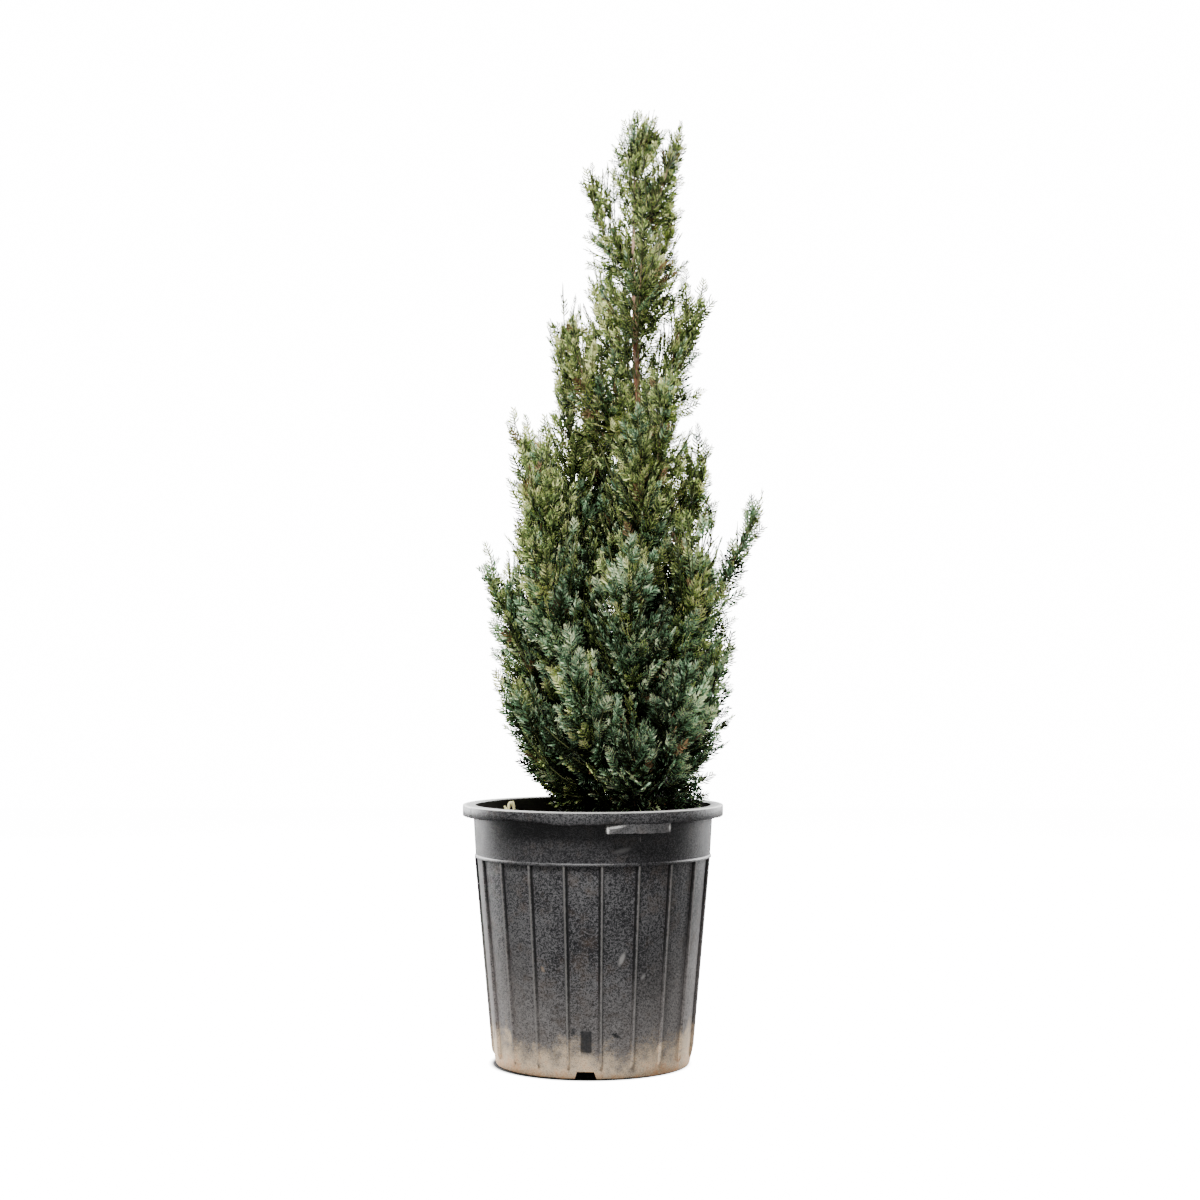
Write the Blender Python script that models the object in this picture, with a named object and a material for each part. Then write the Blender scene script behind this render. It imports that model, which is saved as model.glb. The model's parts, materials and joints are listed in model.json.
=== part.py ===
# Young lawson cypress growing in a tapered black nursery pot.
# Metres, +Z up. The origin is on the pot's axis, on the floor the pot stands on.
# +X is to the right of the front view and +Y points away from it.

import math
import random

import bmesh
import bpy
import numpy as np
from mathutils import Vector

# Clearance between neighbouring pieces
GAP = 0.0003

# Pot
RIM_HEIGHT = 0.277
RIM_RADIUS = 0.140
RIM_BEVEL = 0.0010
MOUTH_RADIUS = 0.1265
SKIRT_DEPTH = 0.0115
WALL = 0.0025
BAND_TOP_RADIUS = 0.1290
BAND_BOTTOM_RADIUS = 0.1261
LEDGE_HEIGHT = 0.2232
LEDGE_DEPTH = 0.0025
LEDGE_RADIUS = 0.1272
BODY_TOP_RADIUS = 0.1244
BODY_BOTTOM_RADIUS = 0.1058
FOOT_HEIGHT = 0.014
FOOT_RADIUS = 0.1018
FLOOR_UNDERSIDE = 0.010
PAD_RADIUS = 0.020
POT_COLUMNS = 40

# Shares of the wall, of a rib and of a grip that set how deep the fused pieces are sunk
FOOT_STEP = 1.6
FOOT_CURVE = 0.35
FOOT_CURVE_OUT = 0.70
RIB_SUNK = 0.60
RIB_CREST = 0.64
GRIP_SUNK = 0.60
GRIP_INNER = 0.85
GRIP_OUTER = 0.12
NOTCH_REACH = 5.0

# Ribs, grips and drain notches of the pot
RIB_COUNT = 20
RIB_FIRST_ANGLE = math.radians(-85.5)
RIB_WIDTH = 0.0034
RIB_RISE = 0.0026
RIB_FOOT = 0.010
RIB_LEAST = 0.0005
GRIP_ANGLES = (math.radians(-69.4), math.radians(110.6))
GRIP_HALF_ANGLE = math.radians(14.5)
GRIP_DEPTH = 0.0105
GRIP_COLUMNS = 6
NOTCH_COUNT = 4
NOTCH_FIRST_ANGLE = math.radians(-94.0)
NOTCH_BOTTOM_WIDTH = 0.025
NOTCH_TOP_WIDTH = 0.0175
NOTCH_HEIGHT = 0.0090

# Soil
SOIL_HEIGHT = 0.250
SOIL_ROUGHNESS = 0.0016
SOIL_COLUMNS = 20
SOIL_RINGS = 5
SOIL_SEED = 5
SOIL_LEVEL_SHARE = 3.2

# Trunk: places of its axis and its radii at the same heights
TRUNK_HEIGHTS = (0.2503, 0.262, 0.300, 0.420, 0.560, 0.730, 0.860, 0.955)
TRUNK_ACROSS = (0.0450, 0.0455, 0.0470, 0.0505, 0.0525, 0.0475, 0.0440, 0.0450)
TRUNK_DEEP = (0.0000, 0.0000, 0.0010, 0.0030, 0.0010, -0.0020, 0.0000, 0.0010)
TRUNK_RADII = (0.0135, 0.0094, 0.0080, 0.0064, 0.0050, 0.0036, 0.0024, 0.0013)
TRUNK_RINGS = 15
TRUNK_SIDES = 8

# Crown outline: half width and middle of the crown by height
CROWN_HEIGHTS = (0.255, 0.300, 0.345, 0.500, 0.620, 0.720, 0.810, 0.950, 1.035)
CROWN_MIDDLES = (0.046, 0.034, 0.028, 0.018, 0.014, 0.028, 0.050, 0.046, 0.056)
CROWN_RADII = (0.074, 0.094, 0.110, 0.128, 0.104, 0.083, 0.062, 0.046, 0.012)

# Storeys of shoots, each spread round the trunk by one rule. Root and tip heights go from the
# lowest to the highest shoot, fill is the tip's share of the crown's half width, share is the
# part of a shoot that is a bare bough, and core is the half width of the dense middle.
STOREYS = {
    "skirt": dict(count=3, root=(0.256, 0.262), tip=(0.314, 0.330), fill=0.86, golden=False,
                  first=math.radians(158.0), share=0.0, radius=0.0016, core=0.026),
    "low": dict(count=6, root=(0.264, 0.292), tip=(0.372, 0.420), fill=0.90, golden=False,
                first=math.radians(188.0), share=0.26, radius=0.0024, core=0.034),
    "mid": dict(count=7, root=(0.300, 0.372), tip=(0.490, 0.550), fill=0.92, golden=False,
                first=math.radians(177.0), share=0.30, radius=0.0028, core=0.034),
    "high": dict(count=5, root=(0.385, 0.470), tip=(0.600, 0.672), fill=0.92, golden=False,
                 first=math.radians(219.0), share=0.36, radius=0.0026, core=0.026),
    "top": dict(count=10, root=(0.540, 0.890), tip=(0.655, 0.960), fill=0.96, golden=True,
                first=math.radians(168.0), share=0.0, radius=0.0016, core=0.020),
}

# Shoots that break the even outline. The root is a height on the trunk, the tip a place,
# and the bow is how far out along the way to the tip the shoot bends up.
ODD_SHOOTS = {
    "left_leader": dict(root=0.352, tip=(-0.030, -0.010, 0.766), bow=0.80, share=0.46,
                        radius=0.0034, core=0.015, spread=0.028, spray=0.044),
    "left_twin": dict(root=0.480, tip=(-0.010, 0.030, 0.760), bow=0.72, share=0.0,
                      radius=0.0020, core=0.013, spread=0.026, spray=0.040),
    "right_top": dict(root=0.900, tip=(0.084, -0.004, 0.972), bow=0.60, share=0.0,
                      radius=0.0014, core=0.010, spread=0.020, spray=0.036),
    "right_bough": dict(root=0.333, tip=(0.168, -0.036, 0.576), bow=0.52, share=0.50,
                        radius=0.0028, core=0.0, spread=0.016, spray=0.034),
}
LEADER_TIP = (0.056, 0.000, 0.986)
LEADER_SPRAY = 0.042
LEADER_CORE = 0.012

# Bend of a storey's shoots: how far out and how high the bend is on the way to the tip
BEND_OUT = 0.70
BEND_UP = 0.30

# Growth rule of the foliage
SEED = 29
GOLDEN_TURN = math.radians(137.508)
GOLDEN_SHARE = 0.618
STEM_TIP_RADIUS = 0.0007
TWIG_RADIUS = 0.0009
TWIG_SPACING = 0.0225
TWIG_LEAST = 6
TWIG_MOST = 9
TWIG_FIRST = 0.06
TWIG_LAST = 0.92
TWIG_FORK = 0.45
TWIG_TESTS = 8
TWIG_SHORTER_UP = 0.55
TWIG_SHORTER_TRY = 0.08
SPRAY_OVERLAP = 0.0022
STEM_SIDES = 3
STEM_STEPS = 5
LENGTH_STEPS = 20
BOUGH_SIDES = 5
BOUGH_STEPS = 5
CORE_SIDES = 6
CORE_STEPS = 5
CORE_FIRST = 0.06
CORE_LAST = 0.88
CORE_LEAST = 0.0030
CORE_ROOM = 0.0050
CORE_MARGIN = 0.0008
CORE_SWELL_FIRST = 0.16
CORE_SWELL_RUN = 0.74
CORE_FULLNESS = 0.7
CORE_SHARE_OF_ROOM = 0.90
CORE_SINK = 0.45
CORE_SHRINK = 0.85
CORE_SEARCH = 0.02
CORE_NOTCH = 0.58
CORE_LIFT = 0.45
TWIG_ANGLE = math.radians(42.0)
TWIG_LIFT = 0.55
SPRAY_LENGTH = 0.052
SPRAY_WIDTH = 0.0155
SPRAY_THICKNESS = 0.0013
SPRAY_ANGLE = math.radians(38.0)
SPRAY_MIDDLE = 0.52
SPRAY_TEST_SHARES = (0.35, 0.70)
SPRAY_TRIES = 5
SPRAY_TURN_IN = 0.80
SPRAY_SHORTENED = 0.45
SPRAY_ROLLS = (0.28 * math.pi, 0.72 * math.pi)
SPRAY_SIZES = (0.88, 1.08)
SIDE_SPRAY_SIZE = 1.15
SPRAY_CLEARANCE = 0.0030
SPREAD = 0.038
OWN_SPACE = 0.0008
LIMB_PIECES = 16
TRUNK_PIECES = 40
LIMB_CLEARANCE = 0.0010
SOIL_CLEARANCE = 0.0060
MOUTH_CLEARANCE = 0.0060


# Outline of a spray, as shares of its length and half width: root, left tooth, left notch,
# tip, right notch and right tooth
SPRAY_OUTLINE = (
    (0.0, 0.0),
    (0.42, 1.0),
    (0.56, 0.34),
    (1.0, 0.0),
    (0.64, -0.30),
    (0.50, -0.92),
)
SPRAY_TIP_CORNER = 3


def smooth_between(height, heights, values):
    """Value at a height on the smooth line through the given values."""
    last = len(heights) - 1
    place = min(max(height, heights[0]), heights[last])
    k = 0
    while k < last - 1 and place > heights[k + 1]:
        k += 1
    before = max(k - 1, 0)
    after = min(k + 2, last)
    step = heights[k + 1] - heights[k]
    slope_start = (values[k + 1] - values[before]) / (heights[k + 1] - heights[before])
    slope_end = (values[after] - values[k]) / (heights[after] - heights[k])
    t = (place - heights[k]) / step
    rise = t * t * (3.0 - 2.0 * t)
    return (values[k] * (1.0 - rise) + values[k + 1] * rise
            + step * slope_start * t * (1.0 - t) ** 2
            - step * slope_end * t * t * (1.0 - t))


def trunk_point(height):
    across = smooth_between(height, TRUNK_HEIGHTS, TRUNK_ACROSS)
    deep = smooth_between(height, TRUNK_HEIGHTS, TRUNK_DEEP)
    return Vector((across, deep, height))


def trunk_radius(height):
    return float(np.interp(height, TRUNK_HEIGHTS, TRUNK_RADII))


def crown_middle(height):
    return float(np.interp(height, CROWN_HEIGHTS, CROWN_MIDDLES))


def crown_radius(height):
    return float(np.interp(height, CROWN_HEIGHTS, CROWN_RADII))


def clear_scene():
    for obj in list(bpy.data.objects):
        bpy.data.objects.remove(obj, do_unlink=True)


def make_material(name, colour, roughness):
    material = bpy.data.materials.new(name)
    material.use_nodes = True
    shader = material.node_tree.nodes["Principled BSDF"]
    shader.inputs["Base Color"].default_value = (*colour, 1.0)
    shader.inputs["Roughness"].default_value = roughness
    shader.inputs["Metallic"].default_value = 0.0
    return material


def make_object(name, vertices, faces):
    mesh = bpy.data.meshes.new(name)
    mesh.from_pydata([tuple(v) for v in vertices], [], faces)
    mesh.update()
    obj = bpy.data.objects.new(name, mesh)
    bpy.context.scene.collection.objects.link(obj)
    return obj


def finish_node(obj, material, sharp_angle=math.radians(35.0)):
    obj.data.materials.clear()
    obj.data.materials.append(material)
    obj.data.shade_smooth()
    obj.data.set_sharp_from_angle(angle=sharp_angle)


def polar(radius, angle, height):
    return Vector((radius * math.cos(angle), radius * math.sin(angle), height))


def ring_points(radius, height, columns):
    """Corners of a ring whose sides face the pot's ribs."""
    step = 2.0 * math.pi / columns
    return [polar(radius, RIB_FIRST_ANGLE + (k + 0.5) * step, height) for k in range(columns)]


def turned_shell(name, profile, columns):
    """Closed shell from a profile that starts and ends on the axis, outside first."""
    vertices = [Vector((0.0, 0.0, profile[0][1]))]
    faces = []
    for radius, height in profile[1:-1]:
        vertices.extend(ring_points(radius, height, columns))
    end = len(vertices)
    vertices.append(Vector((0.0, 0.0, profile[-1][1])))
    rings = len(profile) - 2
    for k in range(columns):
        after = (k + 1) % columns
        faces.append((0, 1 + after, 1 + k))
        for ring in range(rings - 1):
            low = 1 + ring * columns
            high = low + columns
            faces.append((low + k, low + after, high + after, high + k))
        last = 1 + (rings - 1) * columns
        faces.append((last + k, last + after, end))
    return make_object(name, vertices, faces)


def apply_modifiers(obj):
    """Bakes the object's modifiers into its mesh."""
    graph = bpy.context.evaluated_depsgraph_get()
    mesh = bpy.data.meshes.new_from_object(obj.evaluated_get(graph))
    obj.modifiers.clear()
    obj.data = mesh


def add_boolean(obj, operation, cutter):
    modifier = obj.modifiers.new(operation.lower(), "BOOLEAN")
    modifier.operation = operation
    modifier.solver = "EXACT"
    if isinstance(cutter, bpy.types.Collection):
        modifier.operand_type = "COLLECTION"
        modifier.collection = cutter
    else:
        modifier.object = cutter


def fuse(body, extras):
    """One union of the body with all extras, which are then removed."""
    if not extras:
        return
    group = bpy.data.collections.new(body.name + "_extras")
    bpy.context.scene.collection.children.link(group)
    for extra in extras:
        bpy.context.scene.collection.objects.unlink(extra)
        group.objects.link(extra)
    add_boolean(body, "UNION", group)
    apply_modifiers(body)
    for extra in extras:
        bpy.data.objects.remove(extra, do_unlink=True)
    bpy.data.collections.remove(group)
    keep_outer_shell(body)


def cut_away(body, cutters):
    """Takes the cutters out of the body, one after another, and removes them."""
    for cutter in cutters:
        add_boolean(body, "DIFFERENCE", cutter)
        apply_modifiers(body)
        bpy.data.objects.remove(cutter, do_unlink=True)


def shell_volume(faces):
    total = 0.0
    for face in faces:
        corners = [loop.vert.co for loop in face.loops]
        for k in range(1, len(corners) - 1):
            total += corners[0].dot(corners[k].cross(corners[k + 1])) / 6.0
    return total


def keep_outer_shell(obj):
    """Keeps the largest closed shell, so loose scraps go and sealed hollows fill."""
    bm = bmesh.new()
    bm.from_mesh(obj.data)
    unseen = set(bm.faces)
    shells = []
    while unseen:
        queue = [unseen.pop()]
        shell = []
        while queue:
            face = queue.pop()
            shell.append(face)
            for edge in face.edges:
                for other in edge.link_faces:
                    if other in unseen:
                        unseen.remove(other)
                        queue.append(other)
        shells.append(shell)
    shells.sort(key=shell_volume)
    spare = [face for shell in shells[:-1] for face in shell]
    bmesh.ops.delete(bm, geom=spare, context="FACES")
    loose = [vert for vert in bm.verts if not vert.link_faces]
    bmesh.ops.delete(bm, geom=loose, context="VERTS")
    bm.to_mesh(obj.data)
    bm.free()


def cross_frames(points):
    """Two unit vectors across the line at each point, carried along without twist."""
    frames = []
    across = Vector((0.0, 1.0, 0.0))
    last = len(points) - 1
    for k in range(last + 1):
        ahead = (points[min(k + 1, last)] - points[max(k - 1, 0)]).normalized()
        across = (across - ahead * across.dot(ahead)).normalized()
        frames.append((across, ahead.cross(across)))
    return frames


def tube_faces(rings, sides):
    """Faces of a closed tube whose corners are listed ring by ring."""
    faces = []
    for k in range(rings - 1):
        low = k * sides
        for side in range(sides):
            after = (side + 1) % sides
            faces.append((low + side, low + after, low + sides + after, low + sides + side))
    faces.append(tuple(reversed(range(sides))))
    end = (rings - 1) * sides
    faces.append(tuple(range(end, end + sides)))
    return faces


def tube(name, points, radii, sides):
    """Tapered tube with flat ends along the points."""
    vertices = []
    for point, radius, (across, other) in zip(points, radii, cross_frames(points)):
        for side in range(sides):
            angle = 2.0 * math.pi * side / sides
            vertices.append(point + (across * math.cos(angle) + other * math.sin(angle)) * radius)
    return make_object(name, vertices, tube_faces(len(points), sides))


def body_radius(height):
    """Outer radius of the ribbed body at a height."""
    share = (height - FOOT_HEIGHT) / (LEDGE_HEIGHT - LEDGE_DEPTH - FOOT_HEIGHT)
    return BODY_BOTTOM_RADIUS + share * (BODY_TOP_RADIUS - BODY_BOTTOM_RADIUS)


def inner_radius(height):
    """Inner radius of the pot's wall at a height."""
    if height > LEDGE_HEIGHT:
        share = (height - LEDGE_HEIGHT) / (RIM_HEIGHT - LEDGE_HEIGHT)
        return BODY_TOP_RADIUS - WALL + share * (MOUTH_RADIUS - BODY_TOP_RADIUS + WALL)
    return body_radius(height) - WALL


def pot_profile():
    lip_underside = RIM_HEIGHT - WALL
    skirt_bottom = RIM_HEIGHT - SKIRT_DEPTH
    floor_top = FLOOR_UNDERSIDE + WALL
    return [
        (0.0, 0.0),
        (PAD_RADIUS, 0.0),
        (PAD_RADIUS + RIM_BEVEL, FLOOR_UNDERSIDE),
        (body_radius(FLOOR_UNDERSIDE) - FOOT_STEP * WALL, FLOOR_UNDERSIDE),
        (FOOT_RADIUS - FOOT_STEP * WALL, 0.0),
        (FOOT_RADIUS, 0.0),
        (FOOT_RADIUS + FOOT_CURVE_OUT * (BODY_BOTTOM_RADIUS - FOOT_RADIUS), FOOT_CURVE * FOOT_HEIGHT),
        (BODY_BOTTOM_RADIUS, FOOT_HEIGHT),
        (BODY_TOP_RADIUS, LEDGE_HEIGHT - LEDGE_DEPTH),
        (LEDGE_RADIUS, LEDGE_HEIGHT - LEDGE_DEPTH),
        (LEDGE_RADIUS, LEDGE_HEIGHT),
        (BAND_BOTTOM_RADIUS, LEDGE_HEIGHT + RIM_BEVEL),
        (BAND_TOP_RADIUS, lip_underside),
        (RIM_RADIUS - WALL, lip_underside),
        (RIM_RADIUS - WALL, skirt_bottom),
        (RIM_RADIUS, skirt_bottom),
        (RIM_RADIUS, RIM_HEIGHT - RIM_BEVEL),
        (RIM_RADIUS - RIM_BEVEL, RIM_HEIGHT),
        (MOUTH_RADIUS, RIM_HEIGHT),
        (inner_radius(LEDGE_HEIGHT), LEDGE_HEIGHT),
        (inner_radius(FOOT_HEIGHT + WALL), FOOT_HEIGHT + WALL),
        (inner_radius(FOOT_HEIGHT) - WALL, floor_top),
        (0.0, floor_top),
    ]


def make_rib(index):
    """One upright rib, from the ledge down to the rounded foot."""
    angle = RIB_FIRST_ANGLE + index * 2.0 * math.pi / RIB_COUNT
    out = Vector((math.cos(angle), math.sin(angle), 0.0))
    side = Vector((-math.sin(angle), math.cos(angle), 0.0))
    top = LEDGE_HEIGHT - 0.5 * LEDGE_DEPTH
    stations = (
        (RIB_FOOT, body_radius(RIB_FOOT) - RIB_SUNK * WALL),
        (RIB_FOOT + 2.0 * RIB_RISE, body_radius(RIB_FOOT) + RIB_RISE),
        (top, BODY_TOP_RADIUS + RIB_RISE),
    )
    vertices = []
    for height, reach in stations:
        root = body_radius(height) - RIB_SUNK * WALL
        for sign in (-1.0, 1.0):
            foot = side * sign * 0.5 * RIB_WIDTH + Vector((0.0, 0.0, height))
            crest = side * sign * 0.5 * RIB_CREST * RIB_WIDTH + Vector((0.0, 0.0, height))
            vertices.append(foot + out * root)
            vertices.append(crest + out * max(reach, root + RIB_LEAST))
    faces = [(0, 1, 3, 2), (8, 10, 11, 9)]
    for k in (0, 4):
        faces.append((k, k + 4, k + 5, k + 1))
        faces.append((k + 1, k + 5, k + 7, k + 3))
        faces.append((k + 3, k + 7, k + 6, k + 2))
        faces.append((k + 2, k + 6, k + 4, k))
    return make_object("rib_%02d" % index, vertices, faces)


def make_grip(index):
    """Curved hand grip that hangs from the rim's skirt."""
    top = RIM_HEIGHT - GRIP_SUNK * SKIRT_DEPTH
    bottom = RIM_HEIGHT - SKIRT_DEPTH - GRIP_DEPTH
    vertices = []
    for k in range(GRIP_COLUMNS + 1):
        share = 2.0 * k / GRIP_COLUMNS - 1.0
        angle = GRIP_ANGLES[index] + share * GRIP_HALF_ANGLE
        for radius in (RIM_RADIUS - GRIP_INNER * WALL, RIM_RADIUS - GRIP_OUTER * WALL):
            vertices.append(polar(radius, angle, bottom))
            vertices.append(polar(radius, angle, top))
    faces = [(0, 1, 3, 2)]
    for k in range(GRIP_COLUMNS):
        a = 4 * k
        faces.append((a, a + 4, a + 5, a + 1))
        faces.append((a + 1, a + 5, a + 7, a + 3))
        faces.append((a + 3, a + 7, a + 6, a + 2))
        faces.append((a + 2, a + 6, a + 4, a))
    end = 4 * GRIP_COLUMNS
    faces.append((end, end + 2, end + 3, end + 1))
    return make_object("grip_%d" % index, vertices, faces)


def make_notch_cutter(index):
    """Wedge that cuts one drain notch in the foot's skirt."""
    angle = NOTCH_FIRST_ANGLE + index * 2.0 * math.pi / NOTCH_COUNT
    out = Vector((math.cos(angle), math.sin(angle), 0.0))
    side = Vector((-math.sin(angle), math.cos(angle), 0.0))
    vertices = []
    for reach in (FOOT_RADIUS - NOTCH_REACH * WALL, FOOT_RADIUS + NOTCH_REACH * WALL):
        for width, height in ((NOTCH_BOTTOM_WIDTH, -WALL), (NOTCH_TOP_WIDTH, NOTCH_HEIGHT)):
            for sign in (-1.0, 1.0):
                place = out * reach + side * sign * 0.5 * width
                vertices.append(place + Vector((0.0, 0.0, height)))
    faces = [(0, 2, 3, 1), (4, 5, 7, 6), (0, 1, 5, 4), (2, 6, 7, 3), (0, 4, 6, 2), (1, 3, 7, 5)]
    return make_object("notch_%d" % index, vertices, faces)


def make_pot(material):
    pot = turned_shell("pot", pot_profile(), POT_COLUMNS)
    extras = [make_rib(k) for k in range(RIB_COUNT)]
    extras += [make_grip(k) for k in range(len(GRIP_ANGLES))]
    fuse(pot, extras)
    cut_away(pot, [make_notch_cutter(k) for k in range(NOTCH_COUNT)])
    finish_node(pot, material)
    return pot


def make_soil(material):
    """Potting soil that fills the pot up to its uneven top."""
    noise = random.Random(SOIL_SEED)
    floor_top = FLOOR_UNDERSIDE + WALL + GAP
    profile = [
        (0.0, floor_top),
        (inner_radius(FOOT_HEIGHT) - WALL - 2.0 * GAP, floor_top),
        (inner_radius(FOOT_HEIGHT + WALL) - 2.0 * GAP, FOOT_HEIGHT + WALL + GAP),
        (inner_radius(LEDGE_HEIGHT) - 2.0 * GAP, LEDGE_HEIGHT),
    ]
    edge = inner_radius(SOIL_HEIGHT) - 2.0 * GAP
    for ring in range(SOIL_RINGS):
        profile.append((edge * (1.0 - ring / SOIL_RINGS), SOIL_HEIGHT))
    profile.append((0.0, SOIL_HEIGHT))
    soil = turned_shell("soil", profile, SOIL_COLUMNS)
    base = trunk_point(SOIL_HEIGHT)
    level_ground = SOIL_LEVEL_SHARE * TRUNK_RADII[0]
    for vertex in soil.data.vertices:
        away = math.hypot(vertex.co.x - base.x, vertex.co.y - base.y)
        if vertex.co.z > LEDGE_HEIGHT + GAP:
            drop = noise.uniform(0.0, SOIL_ROUGHNESS)
            vertex.co.z -= GAP if away < level_ground else drop
    soil.data.update()
    finish_node(soil, material)
    return soil


def make_trunk(material, swell, name):
    """Trunk with its lean and root flare. A swell makes the cutter that keeps limbs clear."""
    low = TRUNK_HEIGHTS[0]
    high = TRUNK_HEIGHTS[-1]
    flare_top = TRUNK_HEIGHTS[2]
    heights = [low, TRUNK_HEIGHTS[1], 0.5 * (TRUNK_HEIGHTS[1] + flare_top), flare_top]
    for k in range(1, TRUNK_RINGS - 2):
        heights.append(flare_top + (high - flare_top) * k / (TRUNK_RINGS - 3))
    points = [trunk_point(height) for height in heights]
    radii = [trunk_radius(height) + swell for height in heights]
    if swell:
        points[0] = points[0] - Vector((0.0, 0.0, swell))
        points[-1] = points[-1] + Vector((0.0, 0.0, swell))
    trunk = tube(name, points, radii, TRUNK_SIDES)
    if material:
        finish_node(trunk, material)
    return trunk


class Shoot:
    """A limb from the trunk out to its tip: a bough first, then the stem of a mass."""

    def __init__(self, name, start, bend, tip, share, radius, spread, core, spray):
        self.name = name
        self.start = start
        self.bend = bend
        self.tip = tip
        self.share = share
        self.radius = radius
        self.spread = spread
        self.core = core
        self.spray = spray
        points = [self.point(k / LENGTH_STEPS) for k in range(LENGTH_STEPS + 1)]
        self.length = sum((end - start).length for start, end in zip(points[:-1], points[1:]))

    def point(self, t):
        return self.start * (1 - t) ** 2 + self.bend * 2 * t * (1 - t) + self.tip * t * t

    def ahead(self, t):
        slope = (self.bend - self.start) * (1 - t) + (self.tip - self.bend) * t
        return slope.normalized()

    def limb_radius(self, t):
        return self.radius + (STEM_TIP_RADIUS - self.radius) * t

    def stem_start(self):
        return self.share + GAP / self.length if self.share else 0.0


def storey_shoots():
    shoots = []
    for storey, rule in STOREYS.items():
        for k in range(rule["count"]):
            share = k / (rule["count"] - 1)
            angle = rule["first"] + 2.0 * math.pi * k / rule["count"]
            if rule["golden"]:
                angle = rule["first"] + GOLDEN_TURN * k
            mix = share if rule["golden"] else (GOLDEN_SHARE * k) % 1.0
            root = rule["root"][0] + mix * (rule["root"][1] - rule["root"][0])
            tip_height = rule["tip"][0] + mix * (rule["tip"][1] - rule["tip"][0])
            reach = rule["fill"] * crown_radius(tip_height)
            out = Vector((math.cos(angle), math.sin(angle), 0.0))
            start = trunk_point(root)
            tip = Vector((crown_middle(tip_height), 0.0, tip_height)) + out * reach
            bend = start.lerp(tip, BEND_OUT)
            bend.z = start.z + BEND_UP * (tip.z - start.z)
            name = "%s_%d" % (storey, k + 1)
            shoots.append(Shoot(name, start, bend, tip, rule["share"], rule["radius"],
                                SPREAD, rule["core"], SPRAY_LENGTH))
    return shoots


def odd_shoots():
    shoots = []
    for name, rule in ODD_SHOOTS.items():
        start = trunk_point(rule["root"])
        tip = Vector(rule["tip"])
        bend = start.lerp(tip, rule["bow"])
        bend.z = start.z + (1.0 - rule["bow"]) * (tip.z - start.z)
        shoots.append(Shoot(name, start, bend, tip, rule["share"], rule["radius"],
                            rule["spread"], rule["core"], rule["spray"]))
    top = trunk_point(TRUNK_HEIGHTS[-1]) + Vector((0.0, 0.0, GAP))
    tip = Vector(LEADER_TIP)
    bend = Vector((top.x, top.y, 0.5 * (top.z + tip.z)))
    shoots.append(Shoot("leader", top, bend, tip, 0.0, TRUNK_RADII[-1], SPREAD, LEADER_CORE,
                        LEADER_SPRAY))
    return shoots


class Space:
    """Tells which mass a point belongs to, and how far it is from the limbs."""

    def __init__(self, shoots):
        self.starts = []
        self.ends = []
        self.owners = []
        self.radii = []
        self.is_limb = []
        for index, shoot in enumerate(shoots):
            self.add_run(shoot, index, shoot.stem_start(), 1.0, False)
            if shoot.share:
                self.add_run(shoot, index, 0.0, shoot.share, True)
        heights = np.linspace(TRUNK_HEIGHTS[0], TRUNK_HEIGHTS[-1], TRUNK_PIECES)
        for low, high in zip(heights[:-1], heights[1:]):
            self.add_piece(trunk_point(low), trunk_point(high), -1, trunk_radius(low), True)
        self.starts = np.array(self.starts)
        self.ends = np.array(self.ends)
        self.owners = np.array(self.owners)
        self.radii = np.array(self.radii)
        self.is_limb = np.array(self.is_limb)

    def add_run(self, shoot, index, first, last, limb):
        for k in range(LIMB_PIECES):
            low = first + (last - first) * k / LIMB_PIECES
            high = first + (last - first) * (k + 1) / LIMB_PIECES
            self.add_piece(shoot.point(low), shoot.point(high), index,
                           shoot.limb_radius(low), limb)

    def add_piece(self, start, end, owner, radius, limb):
        self.starts.append(tuple(start))
        self.ends.append(tuple(end))
        self.owners.append(owner)
        self.radii.append(radius)
        self.is_limb.append(limb)

    def distances(self, points):
        """Distance of each point to each straight piece of the limbs."""
        points = np.array([tuple(p) for p in points])[:, None, :]
        run = self.ends - self.starts
        along = ((points - self.starts) * run).sum(axis=2) / (run * run).sum(axis=1)
        nearest = self.starts + run * np.clip(along, 0.0, 1.0)[:, :, None]
        return np.linalg.norm(points - nearest, axis=2)

    def room(self, point, owner):
        """Radius of the largest ball round a point of a stem that stays in its space."""
        gaps = self.distances([point])[0]
        others = gaps[(self.owners != owner) & ~self.is_limb]
        limbs = gaps[self.is_limb] - self.radii[self.is_limb]
        return min(0.5 * others.min() - OWN_SPACE, limbs.min() - LIMB_CLEARANCE)

    def holds(self, points, owner):
        """True where all points are in the owner's space and clear of every limb."""
        gaps = self.distances(points)
        stems = ~self.is_limb
        own = gaps[:, stems & (self.owners == owner)].min(axis=1)
        others = gaps[:, stems & (self.owners != owner)].min(axis=1)
        limbs = (gaps[:, self.is_limb] - self.radii[self.is_limb]).min(axis=1)
        return bool(np.all(own + OWN_SPACE < others) and np.all(limbs > LIMB_CLEARANCE))


def inside_crown(point, shoot):
    """True within the crown's outline, over the soil and clear of the pot's mouth."""
    if point.z < SOIL_HEIGHT + SOIL_CLEARANCE:
        return False
    if point.z < RIM_HEIGHT + MOUTH_CLEARANCE:
        if math.hypot(point.x, point.y) > MOUTH_RADIUS - MOUTH_CLEARANCE:
            return False
    if shoot.name in ODD_SHOOTS or shoot.name == "leader":
        return True
    off_middle = math.hypot(point.x - crown_middle(point.z), point.y)
    return off_middle < crown_radius(point.z)


def spray_points(root, ahead, side, length, width):
    """Corners of a spray's toothed outline in space."""
    return [root + ahead * length * along + side * width * out for along, out in SPRAY_OUTLINE]


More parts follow.
